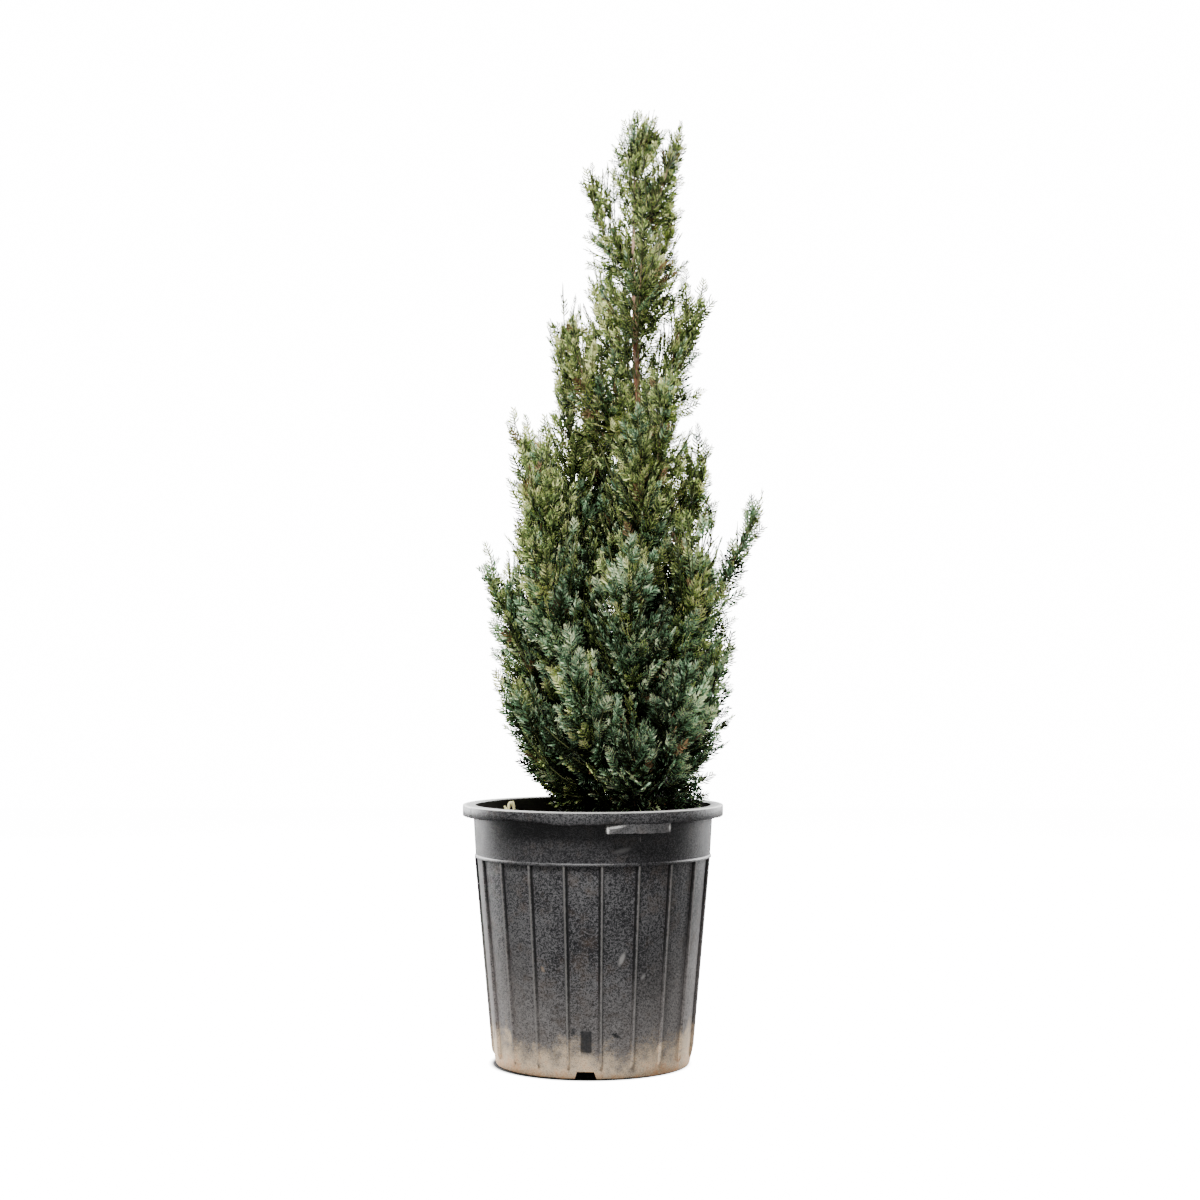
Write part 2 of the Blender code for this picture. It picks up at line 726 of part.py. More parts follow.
def spray_samples(outline):
    """Points spread over a spray's blade, all but its root."""
    middle = outline[0].lerp(outline[SPRAY_TIP_CORNER], SPRAY_MIDDLE)
    inner = [middle.lerp(corner, part) for corner in outline[1:] for part in SPRAY_TEST_SHARES]
    return outline[1:] + inner + [middle]


def make_spray(name, outline, ahead, side):
    """Thin closed blade on the outline, thickest at its middle."""
    middle = outline[0].lerp(outline[SPRAY_TIP_CORNER], SPRAY_MIDDLE)
    rise = ahead.cross(side).normalized() * 0.5 * SPRAY_THICKNESS
    vertices = outline + [middle + rise, middle - rise]
    count = len(outline)
    faces = []
    for k in range(count):
        after = (k + 1) % count
        faces.append((k, count, after))
        faces.append((k, after, count + 1))
    return make_object(name, vertices, faces)


def turned_about(axis, start, angle):
    """Unit vector square to the axis, turned about it from the start vector."""
    across = (start - axis * start.dot(axis)).normalized()
    other = axis.cross(across)
    return across * math.cos(angle) + other * math.sin(angle)


class Mass:
    """One mass of foliage: a stem, its twigs and the sprays fused on them."""

    def __init__(self, shoot, index, space, trunk_cutter):
        self.shoot = shoot
        self.index = index
        self.space = space
        self.trunk_cutter = trunk_cutter
        self.chance = random.Random(SEED * 100 + index)
        self.extras = []
        self.taken = []
        self.sprays = 0
        self.core_first = shoot.stem_start() + CORE_FIRST
        while space.room(shoot.point(self.core_first), index) < CORE_ROOM:
            self.core_first += CORE_SEARCH

    def fits(self, points):
        inside = all(inside_crown(point, self.shoot) for point in points)
        return inside and self.space.holds(points, self.index)

    def make_stem(self):
        shoot = self.shoot
        first = shoot.stem_start()
        places = [first + (1.0 - first) * k / STEM_STEPS for k in range(STEM_STEPS + 1)]
        points = [shoot.point(t) for t in places]
        radii = [shoot.limb_radius(t) for t in places]
        self.frames = cross_frames(points)
        stem = tube("foliage_" + shoot.name, points, radii, STEM_SIDES)
        if not shoot.share and shoot.name != "leader":
            add_boolean(stem, "DIFFERENCE", self.trunk_cutter)
            apply_modifiers(stem)
        return stem

    def core_corner(self, middle, spoke, reach):
        """Corner of the core, drawn in until it is in the mass's own space."""
        while reach > CORE_LEAST and not self.fits([middle + spoke * (reach + CORE_MARGIN)]):
            reach *= CORE_SHRINK
        return middle + spoke * reach

    def core_reach(self, t):
        """Radius of the core at a place of the stem, nothing outside the core's own run."""
        if not self.shoot.core or not self.core_first <= t <= CORE_LAST:
            return 0.0
        share = (t - self.core_first) / (CORE_LAST - self.core_first)
        swell = math.sin(math.pi * (CORE_SWELL_FIRST + CORE_SWELL_RUN * share)) ** CORE_FULLNESS
        room = CORE_SHARE_OF_ROOM * self.space.room(self.shoot.point(t), self.index)
        return max(min(self.shoot.core * swell, room), CORE_LEAST)

    def add_core(self):
        """Toothed spindle round the stem of a dense mass. Every other corner stands out."""
        shoot = self.shoot
        first = self.core_first
        places = [first + (CORE_LAST - first) * k / CORE_STEPS for k in range(CORE_STEPS + 1)]
        points = [shoot.point(t) for t in places]
        vertices = []
        for k, (point, (across, other)) in enumerate(zip(points, cross_frames(points))):
            reach = self.core_reach(places[k])
            lift = shoot.ahead(places[k]) * CORE_LIFT * shoot.length * (CORE_LAST - first)
            for side in range(CORE_SIDES):
                angle = 2.0 * math.pi * side / CORE_SIDES
                spoke = across * math.cos(angle) + other * math.sin(angle)
                stands_out = (side + k) % 2 == 0 and 0 < k < CORE_STEPS
                share = 1.0 if stands_out else CORE_NOTCH
                start = point + lift / CORE_STEPS if stands_out else point
                vertices.append(self.core_corner(start, spoke, reach * share))
        self.extras.append(make_object("core_" + shoot.name, vertices,
                                       tube_faces(CORE_STEPS + 1, CORE_SIDES)))

    def free_of_others(self, samples):
        """True where the points keep their distance from the sprays made so far."""
        if not self.taken:
            return True
        apart = np.array([tuple(p) for p in samples])[:, None] - np.array(self.taken)[None]
        return float(np.linalg.norm(apart, axis=2).min()) > SPRAY_CLEARANCE

    def add_spray(self, root, ahead, roll_from, roll, length):
        """Adds a spray, bent to the stem's direction and shortened until it fits."""
        stem_ahead = self.shoot.ahead(TWIG_LAST)
        for attempt in range(SPRAY_TRIES):
            share = attempt / SPRAY_TRIES
            lead = ahead.lerp(stem_ahead, SPRAY_TURN_IN * share).normalized()
            size = length * (1.0 - SPRAY_SHORTENED * share)
            side = turned_about(lead, roll_from, roll + attempt * GOLDEN_TURN)
            outline = spray_points(root, lead, side, size, SPRAY_WIDTH * size / SPRAY_LENGTH)
            samples = spray_samples(outline)
            if self.fits(samples) and self.free_of_others(samples):
                name = "spray_%s_%d" % (self.shoot.name, self.sprays)
                self.extras.append(make_spray(name, outline, lead, side))
                self.taken.extend(tuple(point) for point in samples)
                self.sprays += 1
                return True
        return False

    def leaving(self, t, turn):
        """Point of the stem, the way out of one of its faces, and how a side shoot leaves."""
        first = self.shoot.stem_start()
        across, other = self.frames[round(STEM_STEPS * (t - first) / (1.0 - first))]
        ahead = self.shoot.ahead(t)
        angle = (turn + 0.5) * 2.0 * math.pi / STEM_SIDES
        out = across * math.cos(angle) + other * math.sin(angle)
        out = (out - ahead * out.dot(ahead)).normalized()
        leave = (ahead * math.cos(TWIG_ANGLE) + out * math.sin(TWIG_ANGLE)).normalized()
        return self.shoot.point(t) + out * CORE_SINK * self.core_reach(t), out, leave

    def clear_root(self, t):
        """True where the stem is far enough from other limbs for a side shoot to leave it."""
        return self.space.room(self.shoot.point(t), self.index) > TWIG_RADIUS

    def add_side_spray(self, t, turn, length):
        root, out, leave = self.leaving(t, turn)
        if not self.clear_root(t):
            return False
        roll = self.chance.uniform(*SPRAY_ROLLS)
        return self.add_spray(root, leave, out, roll, length)

    def add_twig(self, t, turn, length):
        """Side twig with one spray at its end and one below it."""
        root, out, leave = self.leaving(t, turn)
        end = root + leave * length
        if not self.clear_root(t):
            return False
        steps = range(1, TWIG_TESTS + 1)
        if not self.fits([root.lerp(end, step / TWIG_TESTS) for step in steps]):
            return False
        roll = self.chance.uniform(*SPRAY_ROLLS)
        size = self.shoot.spray * self.chance.uniform(*SPRAY_SIZES)
        rise = (leave + Vector((0.0, 0.0, TWIG_LIFT))).normalized()
        before_end = root.lerp(end, 1.0 - SPRAY_OVERLAP / length)
        if not self.add_spray(before_end, rise, out, roll, size):
            return False
        self.extras.append(tube("twig", [root, end], [TWIG_RADIUS, STEM_TIP_RADIUS], STEM_SIDES))
        aside = turned_about(leave, out, math.copysign(0.5 * math.pi, roll - 0.5 * math.pi))
        lead = (leave * math.cos(SPRAY_ANGLE) + aside * math.sin(SPRAY_ANGLE)).normalized()
        self.add_spray(root.lerp(end, TWIG_FORK), lead, leave, roll, size)
        return True

    def grow(self, material):
        stem = self.make_stem()
        if self.shoot.core:
            self.add_core()
        first = self.shoot.stem_start()
        run = (1.0 - first) * self.shoot.length
        places = min(max(TWIG_LEAST, round(run / TWIG_SPACING)), TWIG_MOST)
        for k in range(places):
            share = TWIG_FIRST + (TWIG_LAST - TWIG_FIRST) * k / (places - 1)
            t = first + (1.0 - first) * share
            for attempt in range(STEM_SIDES):
                turn = k + self.index + attempt
                length = self.shoot.spread * (1.0 - TWIG_SHORTER_UP * share)
                length *= 1.0 - TWIG_SHORTER_TRY * attempt
                if k % 2:
                    added = self.add_twig(t, turn, length)
                else:
                    added = self.add_side_spray(t, turn, SIDE_SPRAY_SIZE * self.shoot.spray)
                if added:
                    break
        ahead = self.shoot.ahead(1.0)
        tip = self.shoot.point(1.0) - ahead * SPRAY_OVERLAP
        self.add_spray(tip, ahead, Vector((1.0, 0.3, 0.0)), 0.0, self.shoot.spray)
        fuse(stem, self.extras)
        finish_node(stem, material)
        return stem


def make_bough(shoot, trunk_cutter, material):
    places = [shoot.share * k / BOUGH_STEPS for k in range(BOUGH_STEPS + 1)]
    points = [shoot.point(t) for t in places]
    radii = [shoot.limb_radius(t) for t in places]
    bough = tube("bough_" + shoot.name, points, radii, BOUGH_SIDES)
    add_boolean(bough, "DIFFERENCE", trunk_cutter)
    apply_modifiers(bough)
    keep_outer_shell(bough)
    finish_node(bough, material)
    return bough


def make_tree(bark, leaves):
    make_trunk(bark, 0.0, "trunk")
    trunk_cutter = make_trunk(None, GAP, "trunk_clearance")
    shoots = storey_shoots() + odd_shoots()
    space = Space(shoots)
    for index, shoot in enumerate(shoots):
        if shoot.share:
            make_bough(shoot, trunk_cutter, bark)
        Mass(shoot, index, space, trunk_cutter).grow(leaves)
    bpy.data.objects.remove(trunk_cutter, do_unlink=True)


def main():
    clear_scene()
    plastic = make_material("pot plastic", (0.035, 0.036, 0.038), 0.62)
    compost = make_material("potting soil", (0.045, 0.030, 0.020), 0.95)
    bark = make_material("bark", (0.190, 0.085, 0.055), 0.85)
    leaves = make_material("scale leaves", (0.060, 0.110, 0.060), 0.70)
    make_pot(plastic)
    make_soil(compost)
    make_tree(bark, leaves)


main()
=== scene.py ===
import json
import math

import bmesh
import bpy
import numpy as np
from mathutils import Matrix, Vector

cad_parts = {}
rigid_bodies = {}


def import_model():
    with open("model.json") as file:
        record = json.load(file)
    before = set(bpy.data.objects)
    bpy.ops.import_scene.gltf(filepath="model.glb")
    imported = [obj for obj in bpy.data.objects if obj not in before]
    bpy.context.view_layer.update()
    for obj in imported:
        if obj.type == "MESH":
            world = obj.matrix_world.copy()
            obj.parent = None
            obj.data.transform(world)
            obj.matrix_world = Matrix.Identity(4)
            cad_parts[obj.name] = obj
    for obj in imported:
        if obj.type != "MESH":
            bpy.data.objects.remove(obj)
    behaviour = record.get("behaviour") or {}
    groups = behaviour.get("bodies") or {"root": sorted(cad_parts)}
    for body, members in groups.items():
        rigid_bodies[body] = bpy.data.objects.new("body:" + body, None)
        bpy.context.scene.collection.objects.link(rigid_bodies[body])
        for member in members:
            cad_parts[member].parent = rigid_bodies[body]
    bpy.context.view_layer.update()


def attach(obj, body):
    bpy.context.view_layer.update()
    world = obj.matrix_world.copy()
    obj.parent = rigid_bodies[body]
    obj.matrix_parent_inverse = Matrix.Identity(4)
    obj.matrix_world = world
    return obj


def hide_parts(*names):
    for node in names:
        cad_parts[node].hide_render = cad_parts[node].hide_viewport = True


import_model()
scene = bpy.context.scene
smooth = {"interpolation_type": "SMOOTHSTEP"}
print("frame loaded")


# Small helpers for nodes, materials and meshes

def linear(hexColour):
    values = [int(hexColour[k:k + 2], 16) / 255.0 for k in (1, 3, 5)]
    straight = [v / 12.92 if v <= 0.04045 else ((v + 0.055) / 1.055) ** 2.4 for v in values]
    return (*straight, 1.0)


# Adds a node. Its shown inputs are given in their order, each as a value, a hex colour or the
# socket that feeds it, and None leaves one alone. Gives back the first output that it shows.
def addNode(tree, kind, *inputs, **settings):
    node = tree.nodes.new(kind if "Node" in kind else "ShaderNode" + kind)
    for name, value in settings.items():
        setattr(node, name, value)
    for socket, value in zip([s for s in node.inputs if s.enabled], inputs):
        for one in value if isinstance(value, list) else [value]:
            if isinstance(one, bpy.types.NodeSocket):
                tree.links.new(one, socket)
            elif one is not None:
                isColour = isinstance(one, str) and one.startswith("#")
                socket.default_value = linear(one) if isColour else one
    return next((s for s in node.outputs if s.enabled), None)


# Lays coats over a colour: each has a tint, and shares that are multiplied to its strength
def layCoats(tree, colour, coats):
    for tint, share, *factors in coats:
        for factor in factors:
            share = addNode(tree, "Math", share, factor, operation="MULTIPLY")
        colour = addNode(tree, "Mix", share, colour, tint, data_type="RGBA")
    return colour


def newMaterial(name, colour, roughness, ior=1.46, specular=0.5):
    material = bpy.data.materials.new(name)
    material.use_nodes = True
    shader = material.node_tree.nodes["Principled BSDF"].inputs
    for label, value in (("Base Color", linear(colour)), ("Roughness", roughness), ("IOR", ior),
                         ("Specular IOR Level", specular)):
        shader[label].default_value = value
    return material, material.node_tree, shader


def newObject(name, data, group=scene.collection):
    obj = bpy.data.objects.new(name, data)
    group.objects.link(obj)
    return obj


def meshObject(name, vertices, faces, edges=(), group=scene.collection):
    mesh = bpy.data.meshes.new(name)
    mesh.from_pydata([tuple(v) for v in vertices], edges, faces)
    mesh.update()
    return newObject(name, mesh, group)


# A closed mesh whose faces are turned outwards
def closedObject(name, vertices, faces):
    obj = meshObject(name, vertices, faces)
    work = bmesh.new()
    work.from_mesh(obj.data)
    bmesh.ops.remove_doubles(work, verts=work.verts, dist=1e-6)
    bmesh.ops.recalc_face_normals(work, faces=work.faces)
    work.to_mesh(obj.data)
    work.free()
    return obj


# A closed turned shape from rings of radius and height, with a middle point at either end
def turnedObject(name, rings, angles, first, last):
    columns = len(angles)
    places = []
    for radius, height in rings:
        radius, height = np.broadcast_to(radius, columns), np.broadcast_to(height, columns)
        places.append(np.stack((radius * np.cos(angles), radius * np.sin(angles), height), axis=1))
    vertices = np.concatenate(places + [np.array([(0.0, 0.0, first), (0.0, 0.0, last)])])
    faces = []
    end = (len(rings) - 1) * columns
    for k in range(columns):
        after = (k + 1) % columns
        for a in range(0, end, columns):
            faces.append((a + k, a + after, a + columns + after, a + columns + k))
        faces.append((len(vertices) - 2, after, k))
        faces.append((len(vertices) - 1, end + k, end + after))
    return closedObject(name, vertices, faces)


def newGroup(name):
    group = bpy.data.collections.new(name)
    scene.collection.children.link(group)
    return group


def removeGroup(group):
    for obj in list(group.objects):
        bpy.data.objects.remove(obj, do_unlink=True)
    bpy.data.collections.remove(group)


def addLayer(mesh, name, kind, values, domain="POINT"):
    layer = mesh.attributes.new(name, kind, domain)
    values = np.asarray(values, np.int32 if kind == "INT" else np.float32)
    layer.data.foreach_set("vector" if kind == "FLOAT_VECTOR" else "value", values.ravel())


def newRule(name, sockets):
    tree = bpy.data.node_groups.new(name, "GeometryNodeTree")
    for label, kind in {"Geometry": "Geometry", **sockets}.items():
        tree.interface.new_socket(label, in_out="INPUT", socket_type="NodeSocket" + kind)
    tree.interface.new_socket("Geometry", in_out="OUTPUT", socket_type="NodeSocketGeometry")
    return tree, addNode(tree, "NodeGroupInput").node.outputs


# Ends a rule with its materials, each with the selection that it covers
def endRule(tree, geometry, *coats):
    for selection, material in coats:
        geometry = addNode(tree, "GeometryNodeSetMaterial", geometry, selection, material)
    addNode(tree, "NodeGroupOutput", geometry)
    return tree


def applyModifiers(obj):
    graph = bpy.context.evaluated_depsgraph_get()
    mesh = bpy.data.meshes.new_from_object(obj.evaluated_get(graph), depsgraph=graph)
    obj.modifiers.clear()
    obj.data = mesh


# Runs a geometry rule on the object and keeps the result as a plain mesh
def applyRule(obj, tree, values):
    modifier = obj.modifiers.new(tree.name, "NODES")
    modifier.node_group = tree
    for item in tree.interface.items_tree:
        if item.in_out == "INPUT" and item.name in values:
            modifier[item.identifier] = values[item.name]
    applyModifiers(obj)
    return obj


def shadeByAngle(obj, degrees):
    obj.data.shade_smooth()
    obj.data.set_sharp_from_angle(angle=math.radians(degrees))


def finishPiece(obj, slot, *nodes):
    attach(obj, "root")
    if nodes:
        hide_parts(*nodes)
    obj.data.calc_loop_triangles()
    print(obj.name, len(obj.data.loop_triangles), "triangles")


def unit(vectors):
    return vectors / np.maximum(np.linalg.norm(vectors, axis=-1, keepdims=True), 1e-12)


# Camera, lights and stage

cameraSizes = dict(place=(0.0076, -2.40, 0.436), pitchUp=1.44, lens=66.75)


def makeCamera():
    data = bpy.data.cameras.new("camera")
    data.lens = cameraSizes["lens"]
    camera = newObject("camera", data)
    camera.location = cameraSizes["place"]
    camera.rotation_euler = (math.radians(90.0 + cameraSizes["pitchUp"]), 0.0, 0.0)
    scene.camera = camera


# Place, aimed-at point, width, height and power of each soft light
lightSizes = {
    "left": ((-2.0, 2.0, 1.1), (0.0, 0.0, 0.40), 1.3, 2.0, 265.0),
    "right": ((2.0, 1.9, 1.2), (0.0, 0.0, 0.45), 1.2, 2.0, 200.0),
    "above": ((-0.5, -1.5, 2.8), (0.0, 0.0, 0.60), 0.9, 0.8, 150.0),
    "behind": ((0.0, 2.4, 1.3), (0.0, 0.0, 0.60), 3.4, 2.4, 130.0),
}
studio = dict(shadowFill=0.30, backdrop=16.0, floorGlow=15.0, floorSize=8.0, white="#ffffff",
              floorColour="#f4f4f2", shadowColour="#050505",
              shadowMiddle=(-0.0035, -0.0010, 0.0), shadowRadii=(0.1022, 0.1110))


def makeLights():
    for name, (place, target, width, height, power) in lightSizes.items():
        data = bpy.data.lights.new(name, "AREA")
        data.shape = "RECTANGLE"
        data.size, data.size_y, data.energy = width, height, power
        light = newObject(name, data)
        light.location = place
        light.visible_camera = False
        aim = Vector(target) - Vector(place)
        light.rotation_euler = aim.to_track_quat("-Z", "Y").to_euler()
    world = bpy.data.worlds.new("white studio")
    world.use_nodes = True
    scene.world = world
    tree = world.node_tree
    fill = tree.nodes["Background"]
    fill.inputs["Strength"].default_value = studio["shadowFill"]
    fill.inputs["Color"].default_value = linear(studio["white"])
    seen = addNode(tree, "Background", studio["white"], studio["backdrop"])
    cameraRay = addNode(tree, "LightPath")
    mixed = addNode(tree, "MixShader", cameraRay, fill.outputs[0], seen)
    tree.links.new(mixed, tree.nodes["World Output"].inputs["Surface"])


def makeStage():
    half = 0.5 * studio["floorSize"]
    corners = [(-half, -half, 0.0), (half, -half, 0.0), (half, half, 0.0), (-half, half, 0.0)]
    floor = meshObject("floor", corners, [(0, 1, 2, 3)])
    material, tree, shader = newMaterial("pale matt studio floor with painted contact shadow", studio["floorColour"], 0.9)
    shader["Emission Color"].default_value = linear(studio["white"])
    # a painted contact shadow: the glow stops under the pot and fades in just outside its foot, and
    # the colour goes from near-black there to the floor's own
    place = addNode(tree, "TexCoord").node.outputs["Object"]
    away = addNode(tree, "VectorMath", place, studio["shadowMiddle"], operation="DISTANCE")
    radii = studio["shadowRadii"]
    glow = addNode(tree, "MapRange", away, *radii, 0.0, studio["floorGlow"], **smooth)
    tree.links.new(glow, shader["Emission Strength"])
    lit = addNode(tree, "MapRange", away, *radii)
    colour = layCoats(tree, studio["shadowColour"], [(studio["floorColour"], lit)])
    tree.links.new(colour, shader["Base Color"])
    floor.data.materials.append(material)
    floor.visible_diffuse = False
    floor.visible_glossy = False


makeCamera()
makeLights()
makeStage()
print("camera, lights and stage made")


# The pot: a turned wall with a torn rim, ribs set round it and drain notches cut in its foot

potSizes = dict(
    rimHeight=0.277, rimRadius=0.1399, edge=0.0010, mouthRadius=0.1265, skirtDepth=0.0115,
    wall=0.0025, bandTop=0.1290, bandBottom=0.1261, ledgeHeight=0.2232, ledgeDepth=0.0025,
    ledgeRadius=0.1272, bodyTop=0.1244, bodyBottom=0.1058, footHeight=0.014, footRadius=0.1018,
    floorUnderside=0.010, padRadius=0.020, columns=400, bodyRings=26,
    ribs=20, firstRib=-85.5, ribFoot=0.0105, ribRise=0.0026, ribCrest=0.0011, ribBase=0.0022,
    notches=4, firstNotch=-94.0, notchBottom=0.025, notchTop=0.0175, notchHeight=0.0090,
    splitAngle=-156.2, splitWidth=0.8,
    # where the skirt's edge is torn, and how far it is pulled up there, in millimetres
    tearAngles=(-152, -140, -134, -128, -124, -117, -112, -107, -101, -98, -95, -93, -88, -84),
    tearRise=(0.0, 0.5, 1.6, 3.0, 1.8, 1.7, 0.9, -0.8, -1.5, -1.2, 0.0, -1.0, -0.6, 0.0))
gripSizes = dict(angles=(-69.4, 110.6), halfAngle=14.5, depth=0.0105, overlap=0.0035,
                 inset=0.0003, thickness=0.0018, columns=44, rows=9, creaseFoot=0.05,
                 creaseHead=0.38, bend=0.0040, nick=0.0011, nickAt=0.42, nickWidth=0.06,
                 tornDepth=0.0004, tornTo=0.34, ripples=((0.0002, 31.0), (0.00015, 73.0)),
                 foldWave=(0.0006, 9.0))


def bodyRadius(height):
    p = potSizes
    share = (height - p["footHeight"]) / (p["ledgeHeight"] - p["ledgeDepth"] - p["footHeight"])
    return p["bodyBottom"] + share * (p["bodyTop"] - p["bodyBottom"])


def innerRadius(height):
    p = potSizes
    if height > p["ledgeHeight"]:
        share = (height - p["ledgeHeight"]) / (p["rimHeight"] - p["ledgeHeight"])
        return p["bodyTop"] - p["wall"] + share * (p["mouthRadius"] - p["bodyTop"] + p["wall"])
    return bodyRadius(height) - p["wall"]


# Lower edge of the rim's skirt, torn and wavy at the front left, split near the left end
def skirtBottom(angles):
    p = potSizes
    degrees = np.degrees(angles)
    rise = 0.001 * np.interp(degrees, p["tearAngles"], p["tearRise"])
    ragged = 0.00022 * (np.sin(degrees * 2.9) + np.sin(degrees * 5.3 + 1.0))
    bottom = p["rimHeight"] - p["skirtDepth"] + rise + ragged
    split = np.abs(degrees - p["splitAngle"]) < 0.5 * p["splitWidth"]
    return np.where(split, p["rimHeight"] - p["wall"] - 0.0004, bottom)


# Rings from the underside out over the foot, up to the rim and down the inside
def potRings(angles):
    p = potSizes
    top, wall, edge, rim, mouth = (
        p[name] for name in ("rimHeight", "wall", "edge", "rimRadius", "mouthRadius"))
    under, ledge, low = p["floorUnderside"], p["ledgeRadius"], p["ledgeHeight"] - p["ledgeDepth"]
    skirt = skirtBottom(angles)
    rings = [(0.5 * p["padRadius"], 0.0), (p["padRadius"], 0.0), (p["padRadius"] + edge, under),
             (0.060, under), (bodyRadius(under) - 1.6 * wall, under),
             (p["footRadius"] - 1.6 * wall, 0.0), (p["footRadius"] - 0.8 * wall, 0.0)]
    for turn in np.radians(np.linspace(0.0, 90.0, 7)):
        rings.append((p["footRadius"] + (p["bodyBottom"] - p["footRadius"]) * math.sin(turn),
                      p["footHeight"] * (1.0 - math.cos(turn))))
    for height in np.linspace(p["footHeight"], low, p["bodyRings"])[1:]:
        rings.append((bodyRadius(height), height))
    rings += [(ledge - 0.0005, low), (ledge, low + 0.0005), (ledge, p["ledgeHeight"] - 0.0005),
              (ledge - 0.0004, p["ledgeHeight"])]
    for share in np.linspace(0.0, 1.0, 8):
        rings.append((p["bandBottom"] + share * (p["bandTop"] - p["bandBottom"]),
                      p["ledgeHeight"] + edge + share * (top - wall - p["ledgeHeight"] - edge)))
    rings += [(rim - wall, top - wall), (rim - wall, skirt), (rim - 0.6 * wall, skirt - 0.0003),
              (rim - 0.15 * wall, skirt - 0.0001), (rim, skirt + 0.0005),
              (rim, 0.5 * (skirt + top)), (rim, top - edge), (rim - 0.3 * edge, top - 0.3 * edge),
              (rim - edge, top), (mouth + edge, top), (mouth + 0.3 * edge, top - 0.3 * edge),
              (mouth, top - edge)]
    for height in np.linspace(top - 0.004, p["ledgeHeight"], 6):
        rings.append((innerRadius(height), height))
    rings += [(innerRadius(p["footHeight"] + wall), p["footHeight"] + wall),
              (innerRadius(p["footHeight"]) - wall, under + wall), (0.040, under + wall)]
    return rings


def makeWall():
    p = potSizes
    half = 0.5 * p["splitWidth"]
    angles = np.radians(np.linspace(-180.0, 180.0, p["columns"], endpoint=False))
    # close pairs of columns keep the split's sides steep
    extra = [p["splitAngle"] + k for k in (-half - 0.1, -half + 0.05, half - 0.05, half + 0.1)]
    angles = np.sort(np.concatenate((angles, np.radians(extra))))
    return turnedObject("pot_wall", potRings(angles), angles, 0.0, p["floorUnderside"] + p["wall"])


def cutNotches(wall):
    p = potSizes
    group = newGroup("notch cutters")
    faces = [(0, 2, 3, 1), (4, 5, 7, 6), (0, 1, 5, 4), (2, 6, 7, 3), (0, 4, 6, 2), (1, 3, 7, 5)]
    for index in range(p["notches"]):
        angle = math.radians(p["firstNotch"] + index * 360.0 / p["notches"])
        out = np.array((math.cos(angle), math.sin(angle), 0.0))
        side = np.array((-math.sin(angle), math.cos(angle), 0.0))
        corners = [out * reach + side * sign * 0.5 * width + np.array((0.0, 0.0, height))
                   for reach in (p["footRadius"] - 0.013, p["footRadius"] + 0.013)
                   for width, height in ((p["notchBottom"], -0.002),
                                         (p["notchTop"], p["notchHeight"]))
                   for sign in (-1.0, 1.0)]
        meshObject("notch cutter", corners, faces, group=group)
    modifier = wall.modifiers.new("drain notches", "BOOLEAN")
    modifier.operand_type = "COLLECTION"
    modifier.collection = group
    modifier.operation = "DIFFERENCE"
    modifier.solver = "EXACT"
    applyModifiers(wall)
    removeGroup(group)


# One rib stands at angle zero, a bar with a narrow rounded crest that runs out at the foot
def makeRibShape():
    p = potSizes
    base, crest, rise = p["ribBase"], p["ribCrest"], p["ribRise"]
    across = ((-base, -0.0004), (-crest * 1.15, rise * 0.72), (-crest * 0.6, rise),
              (crest * 0.6, rise), (crest * 1.15, rise * 0.72), (base, -0.0004))
    heights = [p["ribFoot"] + k for k in (0.0, 0.0015, 0.0035, 0.007)]
    heights += list(np.linspace(p["ribFoot"] + 0.02, p["ledgeHeight"] - 0.5 * p["ledgeDepth"], 14))
    vertices, faces = [], []
    for k, height in enumerate(heights):
        full = (0.0, 0.45, 0.8, 1.0)[min(k, 3)]
        for side, out in across:
            vertices.append((bodyRadius(height) + (out * full if out > 0.0 else out), side, height))
    count = len(across)
    for k in range(len(heights) - 1):
        for a in range(k * count, k * count + count - 1):
            faces.append((a, a + 1, a + count + 1, a + count))
    return meshObject("rib_shape", vertices, faces)


def makeRibRule():
    tree, given = newRule("ribs round the pot", {
        "Rib": "Object", "Count": "Int", "First angle": "Float", "Step": "Float",
        "Plastic": "Material"})
    points = addNode(tree, "GeometryNodePoints", given["Count"])
    index = addNode(tree, "GeometryNodeInputIndex")
    turn = addNode(tree, "Math", index, given["Step"], given["First angle"],
                   operation="MULTIPLY_ADD")
    rotation = addNode(tree, "CombineXYZ", None, None, turn)
    shape = addNode(tree, "GeometryNodeObjectInfo", given["Rib"], True).node.outputs["Geometry"]
    placed = addNode(tree, "GeometryNodeInstanceOnPoints", points, None, shape, None, None,
                     rotation)
    real = addNode(tree, "GeometryNodeRealizeInstances", placed)
    both = addNode(tree, "GeometryNodeJoinGeometry", [real, given["Geometry"]])
    return endRule(tree, both, (None, given["Plastic"]))


